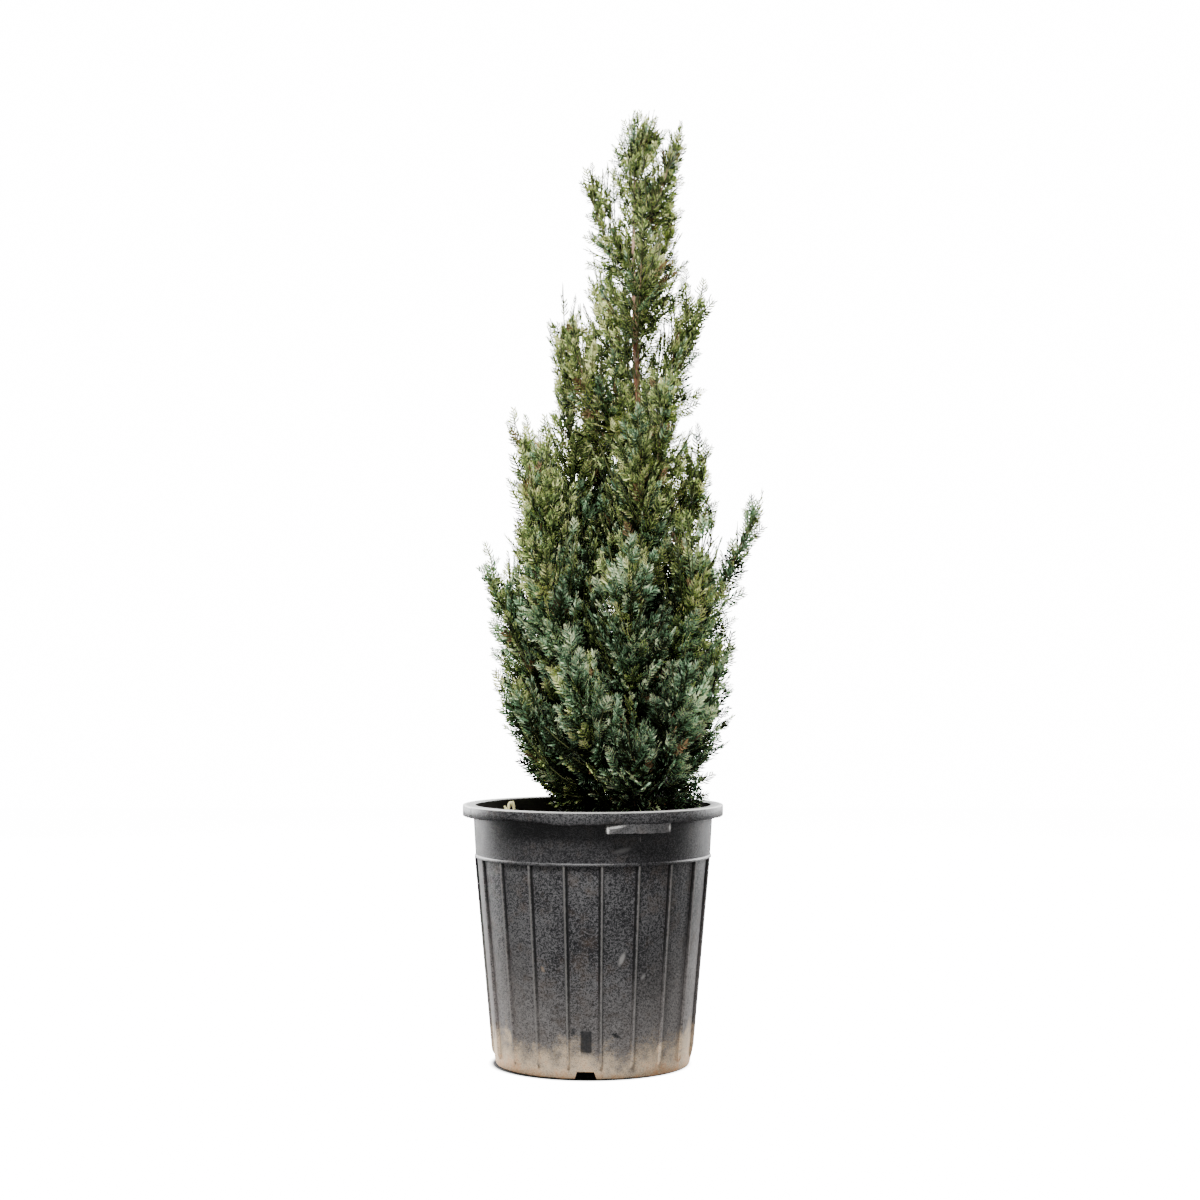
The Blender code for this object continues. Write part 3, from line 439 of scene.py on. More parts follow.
# Hand grips under the rim. The front one is broken: its left end is bent in along a crease.
def makeGrip(name, centre, broken):
    p, g = potSizes, gripSizes
    rows, columns = g["rows"], g["columns"]
    share, drop = np.meshgrid(np.linspace(0.0, 1.0, columns), np.linspace(0.0, 1.0, rows),
                              indexing="ij")
    angle = np.radians(centre + (2.0 * share - 1.0) * g["halfAngle"])
    depth = np.full_like(share, g["depth"])
    for size, waves in g["ripples"]:
        depth += size * np.sin(share * waves)
    bend = np.zeros_like(share)
    if broken:
        nick = np.clip(1.0 - np.abs(share - g["nickAt"]) / g["nickWidth"], 0.0, 1.0)
        depth -= g["nick"] * nick + g["tornDepth"] * (share < g["tornTo"])
        crease = g["creaseFoot"] + (g["creaseHead"] - g["creaseFoot"]) * (1.0 - drop)
        bend = g["bend"] * np.clip((crease - share) / g["creaseHead"], 0.0, 1.0)
        size, waves = g["foldWave"]
        bend += size * np.sin(share * waves) * drop
    height = p["rimHeight"] - p["skirtDepth"] + g["overlap"] - drop * (depth + g["overlap"])
    vertices = []
    for layer in (0.0, g["thickness"]):
        radius = p["rimRadius"] - g["inset"] - bend - layer
        vertices.append(np.stack((radius * np.cos(angle), radius * np.sin(angle), height),
                                 axis=2).reshape(-1, 3))
    second = rows * columns
    faces = []
    for i in range(columns - 1):
        for a in range(i * rows, i * rows + rows - 1):
            faces.append((a, a + 1, a + rows + 1, a + rows))
            faces.append((second + a, second + a + rows, second + a + rows + 1, second + a + 1))
        for a, way in ((i * rows, 1), (i * rows + rows - 1, -1)):
            faces.append((a, a + rows, second + a + rows, second + a)[::way])
    for j in range(rows - 1):
        for a, way in ((j, 1), ((columns - 1) * rows + j, -1)):
            faces.append((a, second + a, second + a + 1, a + 1)[::way])
    return meshObject(name, np.concatenate(vertices), faces)


# Noises are scale from a real size in metres, detail and roughness
dustAndPaintedLightSizes = dict(
    speckle=(1 / 0.0024, 4.0, 0.7), fineSpeckle=(1 / 0.0011, 2.0, 0.5),
    patches=(1 / 0.060, 4.0, 0.55), smears=(1 / 0.018, 5.0, 0.6),
    dusty=(1.27, 1.54), smeared=(0.52, 0.72, 0.0, 0.38), black="#121316", grey="#747374",
    brown="#6a5a4d",
    # the band: how much painted shade it takes by height under the rim's skirt, how mottled, and
    # the radius that parts it from the rim
    bandShadeTo=(0.262, 0.46, 0.72), mottled=(0.38, 0.64, 1.15, 0.72), bandRadius=0.1315,
    # painted highlight on the top edge by height and radius, and the grips' painted lighter tone
    top=(0.2757, 0.2768, 0.0, 0.90), edge=(0.1345, 0.1380, 0.30, 1.0),
    grip=(0.2640, 0.2650, 0.12, 0.0),
    # mud: half reach and steepness of its rise to the sides, waves, ripples and spots
    mudReach=0.110, mudRise=2.2, mudWaves=(0.080, -0.060), mudRipples=0.040, spots=(0.82, 1.08),
    # a clean patch: its ends round the pot and in height
    patchTurn=((-96.9, -96.2), (-90.9, -90.0, 0.85, 0.0)),
    patchHeight=((0.027, 0.030), (0.050, 0.054, 1.0, 0.0)),
    crackAngle=(-155.6, 0.28), crackHeight=(0.2602, 0.0078), contactShadowLine=0.0016)
# Lines along each rib, a painted shadow on the side that faces the middle and a painted highlight
# on the crest: where they start and end in shares of a gap, strength and colour
ribLines = dict(shadow=((0.028, 0.045, 0.080, 0.110), 0.90, "#08080a"),
                crest=((-0.2, -0.1, 0.018, 0.036), 0.55, "#8f8d89"))
# Dried mud: rise towards the sides, low and high end, strength, colour, least share in spots
mudCoats = (
    (0.075, -0.010, 0.125, 0.68, "#a39d99", 0.30),
    (0.014, 0.004, 0.042, 1.00, "#ffe4c0", 0.56),
    (0.006, -0.020, 0.018, 0.90, "#ffbf80", 0.80),
)
# Scuffs, and painted shadow lines and painted highlights at the front grip: angle round the pot,
# height, half width in degrees, half height, slant, colour, strength
scuffsAndPaintedLight = (
    (-75.0, 0.1251, 1.7, 0.0080, 0.8, "#a8a5a2", 0.80),
    (-116.5, 0.1139, 1.2, 0.0040, -0.4, "#a08c78", 0.70),
    (-63.0, 0.1057, 1.5, 0.0035, 0.6, "#9a9896", 0.70),
    (-77.4, 0.0466, 2.6, 0.0045, -0.9, "#1d1f23", 0.95),
    (-100.5, 0.0500, 1.5, 0.0060, 0.5, "#23252a", 0.70),
    (-76.1, 0.2373, 4.4, 0.0036, 0.7, "#7f7d7c", 0.75),
    (-66.5, 0.2520, 0.35, 0.0060, 0.3, "#0b0b0c", 0.90),
    (-67.4, 0.2480, 0.30, 0.0030, 0.0, "#8f8d8a", 0.80),
    # painted shadow lines under the front grip and under the rim's edge across it
    (-68.6, 0.2537, 16.0, 0.0009, 0.0, "#060505", 0.95),
    (-66.0, 0.2652, 14.0, 0.0007, 0.0, "#09090a", 0.95),
    # painted highlights on the front grip's bent upper left and on both its ends
    (-80.2, 0.2622, 3.8, 0.0026, 0.8, "#d2d0cc", 0.85),
    (-83.5, 0.2592, 0.70, 0.0050, 0.0, "#e4e2de", 0.95),
    (-55.4, 0.2600, 0.55, 0.0046, 0.0, "#c6c4c0", 0.90),
)


def plasticMaterial():
    # moulded recycled plastic: dull black grain, so that grey dust reads as fine speckle
    d, p = dustAndPaintedLightSizes, potSizes
    material, tree, shader = newMaterial("dusty moulded black plastic with painted light and shade", "#303133", 0.52, 1.49)
    place = addNode(tree, "TexCoord").node.outputs["Object"]
    across, deep, height = addNode(tree, "SeparateXYZ", place).node.outputs
    speckle, fine, patches, smears = (
        addNode(tree, "TexNoise", place, *d[name])
        for name in ("speckle", "fineSpeckle", "patches", "smears"))
    radius = addNode(tree, "VectorMath", addNode(tree, "CombineXYZ", across, deep),
                     operation="LENGTH")
    turn = addNode(tree, "Math", deep, across, operation="ARCTAN2")
    turn = addNode(tree, "Math", turn, operation="DEGREES")
    # grey dust in the grain, with browner smears
    grain = addNode(tree, "Math", fine, 1.3, speckle, operation="MULTIPLY_ADD")
    grain = addNode(tree, "Math", patches, 0.45, grain, operation="MULTIPLY_ADD")
    dusty = addNode(tree, "MapRange", grain, *d["dusty"])
    coats = [(d["grey"], dusty), (d["brown"], addNode(tree, "MapRange", smears, *d["smeared"]))]
    # ribs painted lighter at the crest, a painted highlight, with a painted shadow line along the
    # side that faces the middle
    phase = turn
    for operation, *values in (("SUBTRACT", p["firstRib"]), ("DIVIDE", 360.0 / p["ribs"]),
                               ("WRAP", 0.5, -0.5)):
        phase = addNode(tree, "Math", phase, *values, operation=operation)
    inward = addNode(tree, "Math", across, deep, operation="MULTIPLY")
    inward = addNode(tree, "Math", inward, operation="SIGN")
    inward = addNode(tree, "Math", phase, inward, operation="MULTIPLY")
    away = addNode(tree, "Math", phase, operation="ABSOLUTE")
    below = addNode(tree, "Math", height, p["ledgeHeight"] - 0.0022, operation="LESS_THAN")
    onBody = addNode(tree, "MapRange", height, p["ribFoot"], p["ribFoot"] + 0.02)
    for name, line in (("shadow", inward), ("crest", away)):
        (start, full, fading, end), strength, tint = ribLines[name]
        rise = addNode(tree, "MapRange", line, start, full, 0.0, strength, **smooth)
        fall = addNode(tree, "MapRange", line, fading, end, 1.0, 0.0, **smooth)
        coats.append((tint, rise, fall, onBody, below))
    # painted shade on the band under the rim's skirt, darker towards the top and mottled; the rim
    # and grips a little darker
    band = addNode(tree, "Math", height, p["ledgeHeight"] - 0.0026, operation="GREATER_THAN")
    proud = addNode(tree, "Math", radius, d["bandRadius"], operation="GREATER_THAN")
    back = addNode(tree, "Math", 1.0, proud, operation="SUBTRACT")
    bandShade = addNode(tree, "MapRange", height, p["ledgeHeight"], *d["bandShadeTo"])
    mottled = addNode(tree, "MapRange", smears, *d["mottled"])
    coats += [("#08090c", bandShade, mottled, band, back), ("#1a1b1e", proud, 0.30)]
    # a painted highlight along the top edge, and the grips painted a little lighter: painted light
    onTop = addNode(tree, "MapRange", height, *d["top"], **smooth)
    nearEdge = addNode(tree, "MapRange", radius, *d["edge"])
    onGrip = addNode(tree, "MapRange", height, *d["grip"])
    coats += [("#dedcd8", onTop, nearEdge), ("#8b8987", onGrip, proud)]
    # tan splash of dried mud at the foot, higher at the sides, with a grey haze above it
    side = addNode(tree, "Math", across, operation="ABSOLUTE")
    side = addNode(tree, "Math", side, d["mudReach"], operation="DIVIDE")
    side = addNode(tree, "Math", side, d["mudRise"], operation="POWER")
    wavy = addNode(tree, "Math", smears, *d["mudWaves"], operation="MULTIPLY_ADD")
    wavy = addNode(tree, "Math", speckle, d["mudRipples"], wavy, operation="MULTIPLY_ADD")
    wavy = addNode(tree, "Math", height, wavy, operation="ADD")
    spots = addNode(tree, "Math", speckle, fine, operation="ADD")
    for rise, low, high, strength, tint, least in mudCoats:
        over = addNode(tree, "Math", side, -rise, wavy, operation="MULTIPLY_ADD")
        over = addNode(tree, "MapRange", over, low, high, strength, 0.0, **smooth)
        spotted = addNode(tree, "MapRange", spots, *d["spots"], least, 1.0)
        mud = addNode(tree, "Math", over, spotted, operation="MULTIPLY")
        coats.append((tint, mud))
    # scuffs, and the painted shadow lines and highlights at the front grip
    for angle, level, halfTurn, halfHeight, slant, tint, strength in scuffsAndPaintedLight:
        up = addNode(tree, "MapRange", height, level, level + halfHeight, clamp=False)
        along = addNode(tree, "MapRange", turn, angle, angle + halfTurn, clamp=False)
        along = addNode(tree, "Math", up, -slant, along, operation="MULTIPLY_ADD")
        off = addNode(tree, "VectorMath", addNode(tree, "CombineXYZ", along, up),
                      operation="LENGTH")
        off = addNode(tree, "Math", fine, 1.6, off, operation="MULTIPLY_ADD")
        coats.append((tint, addNode(tree, "MapRange", off, 1.25, 1.75, strength, 0.0)))
    # a clean dark patch beside the front notch
    coats.append(("#1c1e21", *(
        addNode(tree, "MapRange", socket, *ends)
        for socket, name in ((turn, "patchTurn"), (height, "patchHeight")) for ends in d[name])))
    # a hair crack in the band below the split rim, and painted shade: the hollow under the foot
    # painted black
    crack = addNode(tree, "Math", turn, *d["crackAngle"], operation="COMPARE")
    tall = addNode(tree, "Math", height, *d["crackHeight"], operation="COMPARE")
    under = addNode(tree, "Math", radius, p["footRadius"] - 0.7 * p["wall"],
                    operation="LESS_THAN")
    low = addNode(tree, "Math", height, p["floorUnderside"] + 0.0005, operation="LESS_THAN")
    coats += [("#050505", crack, tall), ("#050505", under, low)]
    # a painted contact shadow: a dark line where the foot meets the ground
    dampAndContactShadow = addNode(tree, "Math", smears, 0.0030, d["contactShadowLine"] - 0.0015, operation="MULTIPLY_ADD")
    coats.append(("#120e0b", addNode(tree, "Math", height, dampAndContactShadow, operation="LESS_THAN")))
    tree.links.new(layCoats(tree, d["black"], coats), shader["Base Color"])
    dull = addNode(tree, "Math", dusty, 0.20, 0.42, operation="MULTIPLY_ADD")
    dull = addNode(tree, "Math", mud, 0.35, dull, operation="MULTIPLY_ADD")
    tree.links.new(dull, shader["Roughness"])
    tree.links.new(addNode(tree, "Bump", 0.35, 0.0004, None, grain), shader["Normal"])
    return material


def insideMaterial():
    # the same plastic inside, never dusted, dull and darkened as painted shade, so that the mouth
    # reads as a dark hole
    material, tree, shader = newMaterial("black plastic inside, darkened as painted shade", "#0d0d0c", 1.0, 1.30, 0.05)
    place = addNode(tree, "TexCoord").node.outputs["Object"]
    # stains about 11 mm across
    stains = addNode(tree, "TexNoise", place, 90.0, 4.0)
    tree.links.new(layCoats(tree, "#080807", [("#1d1b16", stains)]), shader["Base Color"])
    return material


# Gives the faces of the inner wall above the soil their own darker plastic, painted shade
def lineInside(wall):
    low, head = potSizes["ledgeHeight"], potSizes["rimHeight"]
    wall.data.materials.append(insideMaterial())
    for face in wall.data.polygons:
        across, deep, height = face.center
        share = (height - low) / (head - low)
        if -0.04 < share < 0.975 and math.hypot(across, deep) < 0.1240 + 0.0037 * share:
            face.material_index = len(wall.data.materials) - 1


def makePot():
    p = potSizes
    plastic = plasticMaterial()
    wall = makeWall()
    cutNotches(wall)
    rib = makeRibShape()
    applyRule(wall, makeRibRule(), {
        "Rib": rib, "Count": p["ribs"], "First angle": math.radians(p["firstRib"]),
        "Step": 2.0 * math.pi / p["ribs"], "Plastic": plastic})
    bpy.data.objects.remove(rib, do_unlink=True)
    lineInside(wall)
    shadeByAngle(wall, 38.0)
    finishPiece(wall, "pot_plastic", "pot")
    for name, centre in zip(("front_grip", "back_grip"), gripSizes["angles"]):
        grip = makeGrip(name, centre, name == "front_grip")
        shadeByAngle(grip, 30.0)
        grip.data.materials.append(plastic)
        finishPiece(grip, "pot_plastic", "pot")


makePot()
print("pot made")


# Potting soil with crumbs, and a dry seedling at its edge

soilSizes = dict(height=0.2497, loose=0.2490, columns=150, rings=46, relief=0.0016,
                 crumbs=16000.0, crumbSize=0.0026, seed=11, waves=70.0, level=0.62,
                 waveLift=3.0, lumps=420.0, ragged=0.0028, turns=(6.28, 6.28, 6.28),
                 scales=((0.15, 0.15, 0.12), (0.7, 0.8, 0.5)),
                 floorGap=0.0004, footGap=0.0035, ledgeGap=0.0008, edgeGap=0.0006)
seedlingSizes = dict(place=(-0.0905, -0.030, 0.2490), stemRadius=0.0008, leafWidth=0.0040,
                     leafThickness=0.0005, apart=0.0012, parts=9)
# Middle lines of the dry seedling's stem and curled leaves, across and up from its foot
seedlingLines = {
    "stem": ((0.0, 0.0), (0.0008, 0.009), (0.0004, 0.018)),
    "arch": ((0.0004, 0.017), (0.0018, 0.030), (0.0050, 0.0315), (0.0068, 0.025), (0.0052, 0.019)),
    "left": ((0.0003, 0.017), (-0.0015, 0.023), (-0.0038, 0.0275)),
    "low": ((0.0006, 0.014), (-0.0030, 0.0185), (-0.0048, 0.0190)),
}


def soilMaterial():
    # damp peat: near-black crumbs with brown fibre, so that it stays the darkest thing
    material, tree, shader = newMaterial("crumbled peat potting soil", "#2b2018", 0.95, 1.40, 0.25)
    place = addNode(tree, "TexCoord").node.outputs["Object"]
    # crumbs about 3 mm across, and damp patches of about 36 mm
    crumbs = addNode(tree, "TexNoise", place, 320.0, 4.0, 0.7)
    damp = addNode(tree, "TexNoise", place, 28.0, 3.0, 0.55)
    fibrous = addNode(tree, "MapRange", crumbs, 0.42, 0.68, **smooth)
    dampAndContactShadow = addNode(tree, "MapRange", damp, 0.45, 0.65, **smooth)
    colour = layCoats(tree, "#1a130e", [("#54402f", fibrous), ("#231a13", dampAndContactShadow)])
    tree.links.new(colour, shader["Base Color"])
    tree.links.new(addNode(tree, "Bump", 0.8, 0.0012, None, crumbs), shader["Normal"])
    return material


def makeSoilRule():
    s = soilSizes
    tree, given = newRule("crumbs on soil", {
        "Density": "Float", "Crumb size": "Float", "Relief": "Float", "Seed": "Int",
        "Soil": "Material"})
    place = addNode(tree, "GeometryNodeInputPosition")
    height = addNode(tree, "SeparateXYZ", place).node.outputs["Z"]
    inside = addNode(tree, "FunctionNodeCompare", height, s["loose"],
                     data_type="FLOAT", operation="GREATER_THAN")
    # broad waves lift the surface
    lift = addNode(tree, "TexNoise", place, s["waves"], 4.0)
    for operation, value in (("SUBTRACT", s["level"]), ("MULTIPLY", given["Relief"]),
                             ("MULTIPLY", s["waveLift"])):
        lift = addNode(tree, "Math", lift, value, operation=operation)
    offset = addNode(tree, "CombineXYZ", None, None, lift)
    ground = addNode(tree, "GeometryNodeSetPosition", given["Geometry"], inside, None, offset)
    points = addNode(tree, "GeometryNodeDistributePointsOnFaces", ground, inside,
                     given["Density"], given["Seed"])
    # a crumb is a small ball pulled out of shape
    ball = addNode(tree, "GeometryNodeMeshIcoSphere", given["Crumb size"], 1)
    lumpy = addNode(tree, "TexNoise", None, s["lumps"], 2.0).node.outputs["Color"]
    lumpy = addNode(tree, "VectorMath", lumpy, (0.5, 0.5, 0.5), operation="SUBTRACT")
    lumpy = addNode(tree, "VectorMath", lumpy, s["ragged"], operation="SCALE")
    crumb = addNode(tree, "GeometryNodeSetPosition", ball, None, None, lumpy)
    turn, scale = (
        addNode(tree, "FunctionNodeRandomValue", *ends, None, given["Seed"],
                data_type="FLOAT_VECTOR")
        for ends in ((None, s["turns"]), s["scales"]))
    placed = addNode(tree, "GeometryNodeInstanceOnPoints", points, None, crumb, None, None,
                     turn, scale)
    real = addNode(tree, "GeometryNodeRealizeInstances", placed)
    both = addNode(tree, "GeometryNodeJoinGeometry", [real, ground])
    return endRule(tree, both, (None, given["Soil"]))


def makeSoil():
    s, p = soilSizes, potSizes
    angles = np.linspace(0.0, 2.0 * math.pi, s["columns"], endpoint=False)
    floorTop = p["floorUnderside"] + p["wall"] + s["floorGap"]
    edge = innerRadius(s["height"]) - s["edgeGap"]
    rings = [(0.03, floorTop), (innerRadius(p["footHeight"]) - s["footGap"], floorTop),
             (innerRadius(p["ledgeHeight"]) - s["ledgeGap"], p["ledgeHeight"])]
    rings += [(edge * (1.0 - k / s["rings"]), s["height"]) for k in range(s["rings"])]
    soil = turnedObject("soil_crumbs", rings, angles, floorTop, s["height"])
    applyRule(soil, makeSoilRule(), {
        "Density": s["crumbs"], "Crumb size": s["crumbSize"], "Relief": s["relief"],
        "Seed": s["seed"], "Soil": soilMaterial()})
    finishPiece(soil, "potting_soil", "soil")


def makeSeedling():
    z = seedlingSizes
    count = z["parts"]
    t = np.linspace(0.0, 1.0, count)
    vertices, faces = [], []
    for number, (name, line) in enumerate(seedlingLines.items()):
        known = np.linspace(0.0, 1.0, len(line))
        across, up = (np.interp(t, known, values) for values in np.transpose(line))
        middle = np.array(z["place"]) + np.stack((across, z["apart"] * number * t, up), axis=1)
        ahead = unit(np.gradient(middle, axis=0))
        side = unit(np.cross(ahead, (0.25, 1.0, 0.1)))
        out = np.cross(side, ahead)
        width = 0.5 * z["leafWidth"] * np.sin(np.pi * (0.12 + 0.84 * t)) ** 0.7
        thick = np.full(count, z["leafThickness"])
        if name == "stem":
            width = thick = np.full(count, z["stemRadius"])
        start = len(vertices)
        for k in range(count):
            vertices += [middle[k] + side[k] * width[k], middle[k] + out[k] * thick[k],
                         middle[k] - side[k] * width[k], middle[k] - out[k] * 0.3 * thick[k]]
        for a in range(start, start + 4 * (count - 1), 4):
            for j in range(4):
                b = a + (j + 1) % 4
                faces.append((a + j, b, b + 4, a + j + 4))
        end = start + 4 * (count - 1)
        faces += [(start + 3, start + 2, start + 1, start), (end, end + 1, end + 2, end + 3)]
    seedling = closedObject("dry_seedling", vertices, faces)
    seedling.data.shade_smooth()
    # leaves dried up on the stem: straw-pale and matt, they stand out against the black rim
    dry = newMaterial("dry curled seedling leaves", "#efe7ab", 0.6, 1.45, 0.3)[0]
    seedling.data.materials.append(dry)
    finishPiece(seedling, "leaves")


makeSoil()
makeSeedling()
print("soil made")


# The limbs, by the same rule and sizes as the solids

treeSizes = dict(
    trunkHeights=(0.2503, 0.262, 0.300, 0.420, 0.560, 0.730, 0.860, 0.955),
    trunkAcross=(0.0450, 0.0455, 0.0470, 0.0505, 0.0525, 0.0475, 0.0440, 0.0450),
    trunkDeep=(0.0000, 0.0000, 0.0010, 0.0030, 0.0010, -0.0020, 0.0000, 0.0010),
    trunkRadii=(0.0135, 0.0094, 0.0080, 0.0064, 0.0050, 0.0036, 0.0024, 0.0013),
    crownHeights=(0.255, 0.300, 0.345, 0.500, 0.620, 0.720, 0.810, 0.950, 1.035),
    crownMiddles=(0.046, 0.034, 0.028, 0.018, 0.014, 0.028, 0.050, 0.046, 0.056),
    crownRadii=(0.074, 0.094, 0.110, 0.128, 0.104, 0.083, 0.062, 0.046, 0.012),
    stemTipRadius=0.0007, gap=0.0003, bendOut=0.70, bendUp=0.30,
    goldenTurn=math.radians(137.508), goldenShare=0.618,
    leaderTip=(0.056, 0.000, 0.986), leaderSpray=0.042, spray=0.052, spread=0.038)
storeys = {
    "skirt": dict(count=3, root=(0.256, 0.262), tip=(0.314, 0.330), fill=0.86, golden=False,
                  first=158.0, share=0.0, radius=0.0016),
    "low": dict(count=6, root=(0.264, 0.292), tip=(0.372, 0.420), fill=0.90, golden=False,
                first=188.0, share=0.26, radius=0.0024),
    "mid": dict(count=7, root=(0.300, 0.372), tip=(0.490, 0.550), fill=0.92, golden=False,
                first=177.0, share=0.30, radius=0.0028),
    "high": dict(count=5, root=(0.385, 0.470), tip=(0.600, 0.672), fill=0.92, golden=False,
                 first=219.0, share=0.36, radius=0.0026),
    "top": dict(count=10, root=(0.540, 0.890), tip=(0.655, 0.960), fill=0.96, golden=True,
                first=168.0, share=0.0, radius=0.0016),
}
oddShoots = {
    "left_leader": dict(root=0.352, tip=(-0.030, -0.010, 0.766), bow=0.80, share=0.46,
                        radius=0.0034, spread=0.028, spray=0.044),
    "left_twin": dict(root=0.480, tip=(-0.010, 0.030, 0.760), bow=0.72, share=0.0,
                      radius=0.0020, spread=0.026, spray=0.040),
    "right_top": dict(root=0.900, tip=(0.084, -0.004, 0.972), bow=0.60, share=0.0,
                      radius=0.0014, spread=0.020, spray=0.036),
    "right_bough": dict(root=0.333, tip=(0.168, -0.036, 0.576), bow=0.52, share=0.50,
                        radius=0.0028, spread=0.016, spray=0.034),
}


def smoothBetween(height, heights, values):
    last = len(heights) - 1
    place = min(max(height, heights[0]), heights[last])
    k = 0
    while k < last - 1 and place > heights[k + 1]:
        k += 1
    before = max(k - 1, 0)
    after = min(k + 2, last)
    step = heights[k + 1] - heights[k]
    slopeStart = (values[k + 1] - values[before]) / (heights[k + 1] - heights[before])
    slopeEnd = (values[after] - values[k]) / (heights[after] - heights[k])
    t = (place - heights[k]) / step
    rise = t * t * (3.0 - 2.0 * t)
    return (values[k] * (1.0 - rise) + values[k + 1] * rise
            + step * slopeStart * t * (1.0 - t) ** 2 - step * slopeEnd * t * t * (1.0 - t))


def trunkPoint(height):
    across, deep = (smoothBetween(height, treeSizes["trunkHeights"], treeSizes[name])
                    for name in ("trunkAcross", "trunkDeep"))
    return np.array((across, deep, height))


def trunkRadius(height):
    return np.interp(height, treeSizes["trunkHeights"], treeSizes["trunkRadii"])


def crownMiddle(height):
    return np.interp(height, treeSizes["crownHeights"], treeSizes["crownMiddles"])


def crownRadius(height):
    return np.interp(height, treeSizes["crownHeights"], treeSizes["crownRadii"])


def newLimb(name, start, bend, tip, rule):
    limb = dict(name=name, start=np.array(start), bend=np.array(bend), tip=np.array(tip),
                share=rule["share"], radius=rule["radius"],
                spread=rule.get("spread", treeSizes["spread"]),
                spray=rule.get("spray", treeSizes["spray"]))
    points = limbPoint(limb, np.linspace(0.0, 1.0, 21))
    limb["length"] = float(np.linalg.norm(np.diff(points, axis=0), axis=1).sum())
    limb["first"] = (limb["share"] + treeSizes["gap"] / limb["length"]) if limb["share"] else 0.0
    return limb


def limbPoint(limb, t):
    t = np.asarray(t)[..., None]
    return limb["start"] * (1 - t) ** 2 + limb["bend"] * 2 * t * (1 - t) + limb["tip"] * t * t


def limbAhead(limb, t):
    t = np.asarray(t)[..., None]
    return unit((limb["bend"] - limb["start"]) * (1 - t) + (limb["tip"] - limb["bend"]) * t)


def limbRadius(limb, t):
    return limb["radius"] + (treeSizes["stemTipRadius"] - limb["radius"]) * t


def makeLimbs():
    limbs = []
    for storey, rule in storeys.items():
        for k in range(rule["count"]):
            angle = math.radians(rule["first"]) + 2.0 * math.pi * k / rule["count"]
            mix = (treeSizes["goldenShare"] * k) % 1.0
            if rule["golden"]:
                angle = math.radians(rule["first"]) + treeSizes["goldenTurn"] * k
                mix = k / (rule["count"] - 1)
            root, height = (low + mix * (high - low) for low, high in (rule["root"], rule["tip"]))
            reach = rule["fill"] * crownRadius(height)
            start = trunkPoint(root)
            tip = np.array((crownMiddle(height) + reach * math.cos(angle),
                            reach * math.sin(angle), height))
            bend = start + treeSizes["bendOut"] * (tip - start)
            bend[2] = start[2] + treeSizes["bendUp"] * (tip[2] - start[2])
            limbs.append(newLimb("%s_%d" % (storey, k + 1), start, bend, tip, rule))
    for name, rule in oddShoots.items():
        start = trunkPoint(rule["root"])
        bend = start + rule["bow"] * (np.array(rule["tip"]) - start)
        bend[2] = start[2] + (1.0 - rule["bow"]) * (rule["tip"][2] - start[2])
        limbs.append(newLimb(name, start, bend, rule["tip"], rule))
    top, tip = trunkPoint(treeSizes["trunkHeights"][-1]), treeSizes["leaderTip"]
    limbs.append(newLimb("leader", top, (top[0], top[1], 0.5 * (top[2] + tip[2])), tip, dict(
        share=0.0, radius=treeSizes["trunkRadii"][-1], spray=treeSizes["leaderSpray"])))
    return limbs


limbs = makeLimbs()
trunkEnds = treeSizes["trunkHeights"][0], treeSizes["trunkHeights"][-1]


def trunkLine(heights):
    return np.array([trunkPoint(h) for h in heights])


# Straight pieces of all limbs, which divide the crown into one space for each stem
def makeSpace(steps=14, trunkSteps=39):
    starts, runs, owners, radii = [], [], [], []

    def add(points, owner, radius):
        starts.append(points[:-1])
        runs.append(points[1:].astype(np.float32) - points[:-1].astype(np.float32))
        owners.append(np.full(len(points) - 1, owner))
        radii.append(radius[:-1])

    for index, limb in enumerate(limbs):
        spans = [(limb["first"], 1.0, index)]
        if limb["share"]:
            spans.append((0.0, limb["share"], -1))
        for first, last, owner in spans:
            t = np.linspace(first, last, steps + 1)
            add(limbPoint(limb, t), owner, limbRadius(limb, t))
    heights = np.linspace(*trunkEnds, trunkSteps + 1)
    add(trunkLine(heights), -1, trunkRadius(heights))
    run = np.concatenate(runs)
    return dict(start=np.concatenate(starts).astype(np.float32), run=run,
                square=(run * run).sum(axis=1), owner=np.concatenate(owners),
                radius=np.concatenate(radii).astype(np.float32))


space = makeSpace()


# Distance of each point to its own stem, to the nearest other stem and to the nearest bark
def spaceGaps(points, owners, lot=4000, far=9.0):
    wood = space["owner"] == -1
    found = []
    for first in range(0, len(points), lot):
        part = points[first:first + lot].astype(np.float32)
        offset = part[:, None] - space["start"]
        along = np.clip((offset * space["run"]).sum(axis=2) / space["square"], 0.0, 1.0)
        gaps = np.linalg.norm(offset - space["run"] * along[..., None], axis=2)
        mine = space["owner"] == owners[first:first + lot, None]
        found.append((np.where(mine, gaps, far).min(axis=1),
                      np.where(mine | wood, far, gaps).min(axis=1),
                      (gaps - space["radius"])[:, wood].min(axis=1)))
    return [np.concatenate(part).astype(float) for part in zip(*found)]


# Twigs and their flat sprays. A sprig is a flat frond: an axis with short scaly branchlets on
# alternate sides, each a folded blade that bows outward and is rolled about its own length.

